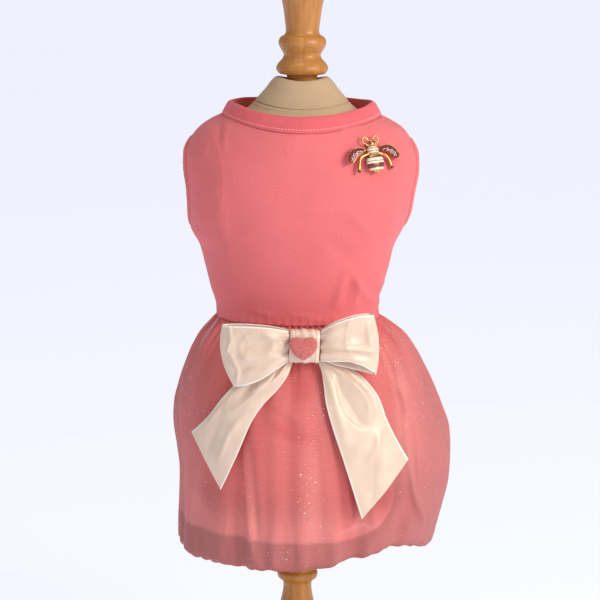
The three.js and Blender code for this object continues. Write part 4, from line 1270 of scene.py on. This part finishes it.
def loop(side, rows, creases, dimples, lift=None):
    """A loop; where lift is given, the front's lower edge is raised by it at each row."""
    columns = [rows[name] for name in ("x", "plane", "middle", "spread", "lean", "curl")]
    front = np.stack(columns, 1)
    front[:, 1] -= rows["depth"] / 2
    behind = front.copy()[::-1]
    behind[:, 1] = (rows["plane"] + rows["depth"] / 2)[::-1]
    direction = np.sign(rows["x"][-1] - rows["x"][0])
    end = front[-1].copy()
    end[0] += direction * rows["depth"][-1] / 3
    end[1] = rows["plane"][-1]
    path = through(np.concatenate([front, end[None], behind]), RIBBON_ROWS)
    tangent = np.gradient(path[:, :2], axis=0)
    tangent /= np.linalg.norm(tangent, axis=1, keepdims=True)
    normal = np.stack([tangent[:, 1], -tangent[:, 0], 0 * tangent[:, 0]], 1) * direction
    pinch = np.clip(1 - np.abs(path[:, 0] - rows["x"][0]) / abs(rows["x"][-1] - rows["x"][0]), 0, 1)
    share = LOOP_SHARES
    in_front = smooth(rows["plane"][-1] - path[:, 1], 0.2, 2.4)[:, None]
    x = path[:, :1] + direction * (path[:, 4:5] * share + path[:, 5:6] * (0.4 - share * share))
    z = path[:, 2:3] + RIBBON_WIDTH / 2 * path[:, 3:4] * share
    if lift is not None:
        raised = np.interp(path[:, 0], rows["x"], lift)[:, None]
        z = z + raised * np.clip((0.25 - share) / 1.25, 0, 1) ** 1.4 * in_front
    y = np.broadcast_to(path[:, 1:2], x.shape)
    grid = np.stack([x, y, z], -1)
    pinch = pinch[:, None]
    pleat = 0.9 * pinch * np.cos(3 * np.pi * share)
    pleat = pleat + 0.2 * pinch**3 * np.cos(8 * np.pi * share + 0.7)
    relief = pleat + (crease_relief(x, z, creases) + dimple_relief(x, z, dimples)) * in_front
    grid = grid + normal[:, None] * relief[..., None]
    return ribbon("ribbon_loop_" + side, grid, "bow_loop_" + side, share * RIBBON_WIDTH / 2)


RIGHT_LIFT = (0, 3, 6, 5, 2.4)
left_loop = loop("left", LEFT_LOOP, LEFT_CREASES, LEFT_DIMPLES)
right_loop = loop("right", RIGHT_LOOP, RIGHT_CREASES, RIGHT_DIMPLES, RIGHT_LIFT)

# %% Tails
HALVINGS = 40


def skirt_front(x, z, out):
    """The skirt's front face over a place seen from the front, clear of its gathers."""
    low, high = np.full(np.shape(x), -88.0), np.full(np.shape(x), 88.0)

    def face(angle):
        left, right, front, gather = columns_at(SKIRT, "level", z, "left right front gather")
        clear = gather + np.maximum(skirt_folds(angle, z), 0) + out
        return section(angle, z, half_width(angle, left, right) + clear, front + clear, 1.0)

    for _ in range(HALVINGS):
        middle = (low + high) / 2
        short = face(middle)[..., 0] < x
        low, high = np.where(short, middle, low), np.where(short, high, middle)
    return face((low + high) / 2)


TAIL_SHARES = np.linspace(0, 1, RIBBON_COLUMNS)
LEFT_TAIL_CREASES = [  # places in mm down and across the tail
    (2, 12, 22, 10, 1, 1.6, 2.4),
    (4, 22, 24, 26, -1, -1.4, 3),
    (16, 14, 34, 20, 1, 1.6, 4),
    (20, 30, 44, 24, -2, -1, 3.6),
    (44, 8, 74, 14, 2, 0.9, 3.6),
    (60, 26, 84, 20, 1, -0.8, 3.6),
    (62, 14, 84, 12, 0, 0.6, 2),
    (50, 33, 76, 34, 1, 0.8, 2.6),
]
LEFT_TAIL_DIMPLES = [(34, 24, 12, 5, 12, -0.8, 0.6)]
RIGHT_TAIL_CREASES = [
    (10, 6, 60, 6, 1, 1.2, 3.4),
    (4, 12, 26, 29, 4, 1.4, 1.8),
    (6, 9, 22, 20, 3, -1, 2),
    (14, 33, 52, 35, 1, 0.8, 2.4),
    (60, 30, 74, 14, 3, 1.2, 3.2),
    (84, 12, 104, 22, 1, 0.7, 4),
    (96, 6, 110, 22, 1, -0.9, 2),
    (100, 8, 112, 24, 1, 0.7, 1.4),
]
RIGHT_TAIL_LEAN = (35, 21.5, 19, 10, 12)  # down, across, half sizes, turn


def tail(side, rows, creases, dimples, lean=None):
    """A tail on the skirt. It tilts a little, or only in one oval where lean is given."""
    edges = through(np.stack(list(rows.values()), 1), RIBBON_ROWS)
    share = TAIL_SHARES
    x = edges[:, :1] + (edges[:, 2:3] - edges[:, :1]) * share
    z = edges[:, 1:2] + (edges[:, 3:4] - edges[:, 1:2]) * share
    flat = skirt_front(x, z, 0.0)
    down = running_length(flat, 0)
    across = share * RIBBON_WIDTH
    width = np.linalg.norm(flat[:, -1] - flat[:, 0], axis=1)
    narrow = np.clip(1 - width / RIBBON_WIDTH, 0, 1)[:, None]
    arch = 3.2 * np.sin(np.pi * share) ** 0.7 * (0.5 + 0.5 * narrow)
    place = down, np.broadcast_to(across, down.shape)
    relief = 1.3 + arch + crease_relief(*place, creases) + dimple_relief(*place, dimples)
    if lean is None:
        relief = relief + 0.11 * place[1] * smooth(down, 4, 24)
    else:
        leaned = 3.2 + 0.42 * (place[1] - lean[1]) - 0.10 * (down - lean[0])
        within = np.clip(dimple_relief(*place, [(*lean, 1.0, 0.25)]), 0, 1)
        relief = relief + (leaned - relief) * within
    relief = np.maximum(relief, 0.9)
    grid = skirt_front(x, z, relief)
    if rows["outer_x"][-1] < 0:
        grid = grid[:, ::-1]
        across = across[::-1]
    return ribbon("ribbon_tail_" + side, grid, "bow_tail_" + side, across - RIBBON_WIDTH / 2)


left_tail = tail("left", LEFT_TAIL, LEFT_TAIL_CREASES, LEFT_TAIL_DIMPLES)
right_tail = tail("right", RIGHT_TAIL, RIGHT_TAIL_CREASES, [], RIGHT_TAIL_LEAN)

# %% Knot
KNOT = {"x": 3.1, "y": -65.6, "z": 262.2, "half_width": 9.2, "half_depth": 6.6, "half_height": 10.8}
KNOT_HALF_CLOTH = 18.0
turn = np.linspace(0, 2 * np.pi, 90, endpoint=False)
shares = np.linspace(-1, 1, 41)


def squared(value, power):
    """A sine or cosine with a flatter top."""
    return np.sign(value) * np.abs(value) ** power


knot_turn, knot_share = np.meshgrid(turn, shares)
shoulder = (1 - 0.16 * np.abs(knot_share) ** 3)
y = KNOT["y"] - KNOT["half_depth"] * squared(np.cos(knot_turn), 0.75) * shoulder
z = KNOT["z"] + KNOT["half_height"] * squared(np.sin(knot_turn), 0.72) * (1 - 0.05 * knot_share**2)
x = KNOT["x"] + KNOT["half_width"] * knot_share + 0.35 * np.sin(knot_turn * 2)
grid = np.stack([x, y, z], -1)
fold = 0.28 * np.cos(knot_share * 9 + 0.8 * np.sin(knot_turn)) - 0.28
for side in (-1, 1):
    fold += 0.35 * np.exp(-(((side * knot_share - 0.82) / 0.05) ** 2))
    fold -= 0.4 * np.exp(-(((side * knot_share - 0.70) / 0.04) ** 2))
on_top = smooth(np.sin(knot_turn), 0.5, 0.9) * 0.15
fold += on_top * np.cos(knot_share * 13 + 1.0)
away = unit((grid - np.array([0, KNOT["y"], KNOT["z"]])) * (0, 1, 1))
grid = closed((grid + away * fold[..., None]).transpose(1, 0, 2), 0)
knot = ribbon("ribbon_knot", grid[:, ::-1], "bow_knot", shares * KNOT_HALF_CLOTH)

# %% [markdown]
# ## Heart
# A small flocked heart is glued on the wrap. It is drawn as half an outline with its mirror
# image, filled, swelled into a low cushion and roughened a little, so that its pile catches the
# light.

# %% Flocked heart
HEART = {"width": 17.4, "height": 14.3, "thickness": 3.2, "x": 2.4, "z": 261.9}


def curved_outline(start, pieces, steps=12):
    """Points along straight lines (one place each) and cubic curves (three places each)."""
    points = [np.array(start, float)]
    t = np.linspace(0, 1, steps + 1)[1:, None]
    for piece in pieces:
        first, places = points[-1], [np.array(p, float) for p in piece]
        if len(places) == 1:
            points.append(places[0])
        else:
            a, b, c = places
            pull = 3 * (1 - t) ** 2 * t * a + 3 * (1 - t) * t**2 * b
            points.extend((1 - t) ** 3 * first + pull + t**3 * c)
    return np.array(points)


w, h = HEART["width"], HEART["height"]
half_heart = curved_outline(
    (0, -h / 2),
    [
        ((w * 0.14, -h * 0.5), (w * 0.5, -h * 0.14), (w / 2, h * 0.16)),
        ((w / 2, h * 0.4), (w * 0.38, h / 2), (w * 0.26, h / 2)),
        ((w * 0.14, h / 2), (w * 0.05, h * 0.46), (0, h * 0.40)),
    ],
)
outline = np.concatenate([half_heart[:-1], (half_heart[1:] * (-1, 1))[::-1]])
count = len(outline)
SHELLS, FUZZ = 15, 0.08
shells = np.linspace(0, 1, SHELLS)
radius = np.sin(shells * np.pi / 2)
height = 0.3 + np.cos(shells * np.pi / 2) ** 0.6 * (HEART["thickness"] - 0.3)
fuzz = rng.normal(0, FUZZ, (SHELLS, count)) * (shells[:, None] < 0.99) * (shells[:, None] > 0.3)
front_y = KNOT["y"] - KNOT["half_depth"] - 0.3
scales = np.concatenate([np.maximum(radius, 0.02), [0.97, 0.02]])[:, None]
y = np.concatenate([front_y - height[:, None] - fuzz, np.full((2, count), front_y)])
points = np.stack([HEART["x"] + outline[:, 0] * scales, y, HEART["z"] + outline[:, 1] * scales], -1)
heart = cloth("flocked_heart", points, flock.material, ring=True)
edit(heart)
bpy.ops.mesh.select_all(action="SELECT")
bpy.ops.mesh.remove_doubles(threshold=0.08 * MM)
fill_ends()
face_outwards()
done()
wear(heart, "flock", "bow_heart")

# %% [markdown]
# ## Dress form
# The form is a padded body under stretched cream cotton, with no head and no limbs. One seam runs
# round its neck. It is a closed surface through rings, and the seam is a fine groove in it.

# %% Dress form
SEAM_ROW = 6.55
form_rows = [np.linspace(0, 6, 43)[:-1], np.linspace(6, 7.2, 41)[:-1], np.linspace(7.2, 23, 84)]
angle, row = np.meshgrid(np.linspace(-180, 180, 144, endpoint=False), np.concatenate(form_rows))
names = "level z_front z_back side front back roundness"
level, z_front, z_back, side, front, behind, roundness = columns_at(FORM, "row", row, names)
z = sagged(angle, level, z_front, z_back)
seam = 0.9 * np.exp(-(((row - SEAM_ROW) / 0.055) ** 2))
seam -= 0.3 * np.exp(-(((row - SEAM_ROW - 0.16) / 0.1) ** 2))
grid = section(angle, z, side - seam, front - seam, behind - seam, roundness)
form = cloth("padded_form", grid, form_cover, ring=True)
edit(form)
fill_ends()
face_outwards()
done()
wear(form, "form_cover", "dress_form")

# %% [markdown]
# ## Turned wood
# A turner cuts a spinning blank down to a profile. In Blender the same is done with a disc: its
# rim is extruded upwards again and again, and each new ring is scaled to the profile's radius.

# %% Lathe work


def turn_wood(name, profile, node, sides=72, fine=5):
    """A turned piece from (radius, height) pairs in millimetres, from the bottom to the top."""
    profile = through(profile, (len(profile) - 1) * fine + 1)
    profile[:, 0] = np.maximum(profile[:, 0], 0.05)
    start, height = profile[0]
    piece = primitive("circle", (0, 0, height), vertices=sides, radius=start * MM, fill_type="NGON")
    piece.name = name
    bpy.ops.object.transform_apply(location=True, rotation=True, scale=True)
    edit(piece)
    bpy.ops.mesh.select_all(action="SELECT")
    for (radius, z), (old_radius, old_z) in zip(profile[1:], profile[:-1]):
        bpy.ops.mesh.extrude_region_move(TRANSFORM_OT_translate={"value": (0, 0, (z - old_z) * MM)})
        scale = radius / old_radius
        bpy.ops.transform.resize(value=(scale, scale, 1), center_override=(0, 0, z * MM))
    face_outwards()
    done()
    bpy.ops.object.shade_smooth_by_angle(angle=math.radians(38))
    piece.data.materials.append(wood.material)
    wear(piece, "wood", node)
    return piece


POST_PROFILE = [
    (19, 15.3), (19.5, 20), (16, 25), (12.6, 32), (13.6, 42), (15.2, 55), (14.2, 67), (11, 79),
    (9.3, 88), (9.8, 93), (12.6, 95.5), (13.2, 99), (11.4, 102), (13.6, 106), (13.6, 111),
    (11, 116), (11, 202), (21, 206), (22, 210), (22, 214.7),
]
FINIAL_PROFILE = [
    (9.6, 409.3), (9.6, 424), (14.2, 425.6), (16.5, 428.6), (15.4, 432), (12.6, 435.2),
    (11.8, 438), (13.6, 441.2), (15.2, 445), (14, 448.6), (10.7, 451.4), (11.3, 459.6),
    (12.3, 467), (14.2, 476), (15.6, 485), (14.2, 493), (9, 498.6), (0.4, 500.4),
]
BASE_PROFILE = [(98, 0), (100, 2), (100, 7), (95, 9.5), (92, 10.5), (70, 13.6), (26, 15), (0.4, 15)]
turn_wood("turned_post", POST_PROFILE, "stand_post")
turn_wood("turned_finial", FINIAL_PROFILE, "stand_finial")
turn_wood("turned_base", BASE_PROFILE, "stand_base", sides=128)

# %% [markdown]
# ## Brooch
# The brooch is cast metal in the form of a bee: a fat striped body, two half-round wings with
# small clear stones, antennae and two bent legs. The stripes are enamel, poured between raised
# lines. It is modelled lying flat and moved onto the shoulder at the end.

# %% Tools for the brooch


def choose_faces(obj, test):
    """Selects the faces whose centre, in millimetres, passes a test."""
    bpy.ops.mesh.select_all(action="DESELECT")
    done()
    for face in obj.data.polygons:
        face.select = bool(test(face.center / MM))
    bpy.ops.object.mode_set(mode="EDIT")


def raised_stripe(obj, low, high, above, rise, finish_index):
    choose_faces(obj, lambda c: low < c.y < high and c.z > above)
    bpy.ops.mesh.extrude_region_shrink_fatten(TRANSFORM_OT_shrink_fatten={"value": rise * MM})
    obj.active_material_index = finish_index
    bpy.ops.object.material_slot_assign()


def pebble(name, place, size, finish, segments=28, rings=18):
    """A ball squeezed to its three half sizes, with its poles front and back."""
    obj = primitive("uv_sphere", place, segments=segments, ring_count=rings, radius=MM)
    obj.name = name
    obj.rotation_euler = (math.pi / 2, 0, 0)
    bpy.ops.object.transform_apply(location=False, rotation=True, scale=False)
    obj.scale = size
    bpy.ops.object.transform_apply(location=True, rotation=False, scale=True)
    obj.data.materials.append(finish)
    bpy.ops.object.shade_smooth()
    return obj


def join(objects, name):
    """Several objects become one."""
    bpy.ops.object.select_all(action="DESELECT")
    for obj in objects:
        obj.select_set(True)
    bpy.context.view_layer.objects.active = objects[0]
    bpy.ops.object.join()
    objects[0].name = name
    return objects[0]


def wire(name, points):
    """A tapering gold wire through points, with round ends."""
    curve = bpy.data.curves.new(name, "CURVE")
    curve.dimensions, curve.bevel_depth, curve.bevel_resolution = "3D", MM, 3
    curve.use_fill_caps = True
    spline = curve.splines.new("NURBS")
    spline.points.add(len(points) - 1)
    for point, (*place, radius) in zip(spline.points, points):
        point.co, point.radius = (*(p * MM for p in place), 1), radius
    spline.use_endpoint_u, spline.order_u, spline.resolution_u = True, 3, 6
    only(placed(name, curve))
    bpy.ops.object.convert(target="MESH")
    obj = bpy.context.object
    obj.data.materials.append(gold.material)
    bpy.ops.object.shade_smooth()
    return obj


print("brooch tools ready")

# %% Bee's body with enamel stripes
abdomen = pebble("bee_abdomen", (0, -4.6, 2.6), (5.2, 5.8, 2.6), gold.material, 36, 54)
abdomen.data.materials.append(cream_enamel)
abdomen.data.materials.append(dark_enamel)
edit(abdomen)
choose_faces(abdomen, lambda c: c.y < -8.6)
bpy.ops.transform.resize(value=(0.72, 1.0, 0.8), center_override=(0, -9 * MM, 2.6 * MM))
STRIPES = [  # low edge, high edge, finish
    (-1.7, -1.1, 2), (-3.1, -1.7, 1), (-3.5, -3.1, 2),
    (-4.9, -3.5, 1), (-7.3, -5.2, 2), (-8.6, -7.6, 1),
]
for low, high, finish_index in STRIPES:
    raised_stripe(abdomen, low, high, 2.0, 0.22, finish_index)
done()
thorax = pebble("bee_thorax", (0, 2.4, 2.4), (3.4, 3.2, 2.4), gold.material, 28, 22)
thorax.data.materials.append(cream_enamel)
edit(thorax)
for low, high in ((1.2, 2.1), (2.6, 3.6), (4.0, 4.8)):
    raised_stripe(thorax, low, high, 2.2, 0.2, 1)
done()
head = pebble("bee_head", (0, 6.4, 2.0), (2.2, 2.2, 2.0), gold.material)
eyes = []
for x in (-1.2, 1.2):
    eyes.append(pebble("bee_eye", (x, 7.0, 3.1), (0.75, 0.95, 0.7), dark_enamel, 12, 8))
eyes.append(pebble("bee_brow", (0, 8.3, 2.6), (1.6, 0.45, 0.55), gold.material, 12, 8))
print("stripes:", len(STRIPES), "faces:", len(abdomen.data.polygons))

# %% Antennae and legs
WIRES = {  # place and thickness, one row a point
    "bee_antenna": [
        (1.6, 5.4, 2, 0.42), (3.4, 6.6, 2, 0.38), (5.3, 8.1, 2, 0.4), (4.9, 9.8, 2, 0.38),
        (3.8, 11.2, 2, 0.5), (2.4, 9.9, 2, 0.38), (1, 8.2, 2, 0.42),
    ],
    "bee_leg": [
        (2, 1.2, 2, 0.9), (5.4, 0.4, 1.9, 0.95), (8.2, -0.6, 1.7, 0.75), (9.6, -3.8, 1.5, 1),
        (10.2, -6.4, 1.4, 1.25), (10.6, -9, 1.2, 0.8),
    ],
}
limbs = []
for side in (-1, 1):
    for name, points in WIRES.items():
        limbs.append(wire(name, [(side * x, y, z, radius) for x, y, z, radius in points]))
    for name, (x, y, z), size, finish in (
        ("bee_foot", (10.5, -7.9, 1.5), (1.05, 1.2, 0.95), dark_enamel),
        ("bee_wing_root", (3.2, 3.3, 2.0), (0.85, 0.8, 0.7), gold.material),
    ):
        limbs.append(pebble(name, (side * x, y, z), size, finish, 14, 10))
bee_body = join([abdomen, thorax, head, *eyes, *limbs], "bee_body_metal")
print("bee body faces:", len(bee_body.data.polygons))

# %% Wings with stones
WING = curved_outline(
    (4.2, 2.9),
    [
        ((4.8, 4.6),),
        ((8.0, 6.4), (12.6, 5.8), (14.8, 2.8)),
        ((16.2, 0.8), (16.8, -1.6), (16.2, -3.0)),
        ((15.2, -3.6), (13.4, -3.2), (12.4, -2.2)),
        ((9.6, 1.0),),
    ],
    steps=7,
)
WING_LOW, WING_THICK, WING_RIM, WING_HOLLOW = 0.8, 1.6, 0.5, 0.4
STONE_LEVEL, STONE_RADIUS = 2.15, 0.47
ROUND_A_STONE = ((0.8, 0), (-0.8, 0), (0, 0.7), (0, -0.7), (0.5, 2.4))


def inside(points, x, y):
    """Inside an outline, a ray to the right crosses it an odd number of times."""
    (x0, y0), (x1, y1) = points.T, np.roll(points, -1, 0).T
    crosses = (y0 > y) != (y1 > y)
    rise = np.where(crosses, y1 - y0, 1)
    return bool((crosses & (x < x0 + (y - y0) * (x1 - x0) / rise)).sum() % 2)


def gem(place, size, turned):
    obj = primitive("ico_sphere", place, subdivisions=1, radius=size * MM)
    obj.rotation_euler = turned
    bpy.ops.object.transform_apply(location=True, rotation=True, scale=True)
    obj.data.materials.append(stone.material)
    return obj


def wing(side, name):
    """A plate cut to the wing's outline, with a raised gold rim, and stones on its lower part."""
    plate = primitive("circle", vertices=len(WING), radius=5 * MM, fill_type="NGON")
    plate.name = "bee_wing_plate_" + name
    for vertex, (x, y) in zip(plate.data.vertices, WING):
        vertex.co = (side * x * MM, y * MM, WING_LOW * MM)
    edit(plate)
    face_outwards()
    bpy.ops.mesh.extrude_region_move(TRANSFORM_OT_translate={"value": (0, 0, WING_THICK * MM)})
    bpy.ops.mesh.inset(thickness=WING_RIM * MM, depth=0)
    bpy.ops.transform.translate(value=(0, 0, -WING_HOLLOW * MM))
    plate.data.materials.append(gold.material)
    plate.data.materials.append(wing_enamel)
    plate.active_material_index = 1
    bpy.ops.object.material_slot_assign()
    face_outwards()
    done()
    bpy.ops.object.shade_smooth_by_angle(angle=math.radians(35))
    stones = []
    for row in range(12):
        for k in range(16):
            x, y = 4.4 + 0.98 * k + 0.49 * (row % 2), -3.2 + 0.86 * row
            if x < 14.6 and all(inside(WING, x + dx, y + dy) for dx, dy in ROUND_A_STONE):
                turned = (0.5 * k, 0.3 * row, 0.7 * k + row)
                stones.append(gem((side * x, y, STONE_LEVEL), STONE_RADIUS, turned))
    return plate, join(stones, "bee_stones_" + name)


wings = {name: wing(side, name) for side, name in SIDES}
waist = []
for k, off in enumerate((-1.5, -0.5, 0.5, 1.5)):
    waist.append(gem((1.15 * off, -0.35, 4.15 - 0.3 * abs(off)), 0.52, (k, 0.4, 0.2)))
waist_stones = join(waist, "bee_stones_waist")
print("stones' faces:", len(wings["right"][1].data.polygons))

# %% Put the brooch on the shoulder
BEE_ANGLE, BEE_LEVEL, BEE_TILT, BEE_SIZE = 36.5, 384.5, 4, 1.1
bee_angle, bee_level = np.array(BEE_ANGLE), np.array(BEE_LEVEL)
outward = Vector(out_of(bodice_surface, bee_angle, bee_level))
seat = Vector(moved(bodice_surface, bee_angle, bee_level, 0.3)) * MM
rightward = Vector((0, 0, 1)).cross(outward).normalized()
upward = outward.cross(rightward)
onto = Matrix((rightward, upward, outward)).transposed().to_4x4()
onto.translation = seat
onto = onto @ Matrix.Rotation(math.radians(BEE_TILT), 4, "Z") @ Matrix.Scale(BEE_SIZE, 4)
for obj, slot, nodes in (
    (bee_body, "brooch_metal", ["bee_body"]),
    (wings["left"][0], "brooch_enamel", ["bee_wing_left"]),
    (wings["right"][0], "brooch_enamel", ["bee_wing_right"]),
    (wings["left"][1], "brooch_enamel", []),
    (wings["right"][1], "brooch_enamel", []),
    (waist_stones, "brooch_metal", []),
):
    obj.data.transform(onto)
    wear(obj, slot, *nodes)

# %% [markdown]
# ## Floor
# The floor is a wide pale sheet that the whole view looks down on. It glows a little by itself,
# so that it stays as pale far away as it is near the stand.

# %% Pale floor
floor_finish = Finish("pale_floor", (0.25, 0.255, 0.27), Roughness=0.9)
floor_finish.mottle(2.5, 1, 0.3, 0.7, (0.24, 0.245, 0.26), (0.26, 0.265, 0.28), scale=1)
floor_finish.set("Emission Color", (0.88, 0.90, 1.0, 1))
floor_finish.set("Emission Strength", 0.88)
floor = primitive("plane", size=80)
floor.name = "floor"
floor.data.materials.append(floor_finish.material)
print("floor size in metres:", tuple(floor.dimensions))

# %% [markdown]
# ## Cut sizes
# Each cloth is listed with the size it was cut to, how it is held and what it rests on, and the
# area of its faces is printed.

PANELS = ["back_panel_cloth", "belly_panel_cloth"]
CUTS = [
    (back_panel, (0.218, 0.142), "stretched", ["padded_form"], 0.0245),
    (belly_panel, (0.216, 0.142), "stretched", ["padded_form"], 0.0240),
    (neckband_rib, (0.300, 0.0110), "stretched", PANELS, None),
    (bindings["left"], (0.162, 0.0100), "stretched", PANELS, 0.0013),
    (bindings["right"], (0.162, 0.0100), "stretched", PANELS, 0.0013),
    (skirt_lining, (0.440, 0.135), "gathered", PANELS, None),
    (tulle_skirt, (0.620, 0.170), "gathered", ["skirt_lining_cloth"], None),
    (left_loop, (0.038, 0.080), "folded", ["ribbon_knot"], None),
    (right_loop, (0.038, 0.065), "folded", ["ribbon_knot"], None),
    (left_tail, (0.038, 0.066), "hung", ["tulle_skirt"], None),
    (right_tail, (0.038, 0.090), "hung", ["tulle_skirt"], None),
    (knot, (0.019, 0.056), "folded", ["ribbon_loop_left", "ribbon_loop_right"], None),
]
for obj, flat, held, rests_on, area in CUTS:
    both_faces = sum(face.area for face in obj.data.polygons)
    print(obj.name, "area in square metres, both faces:", round(both_faces, 5))
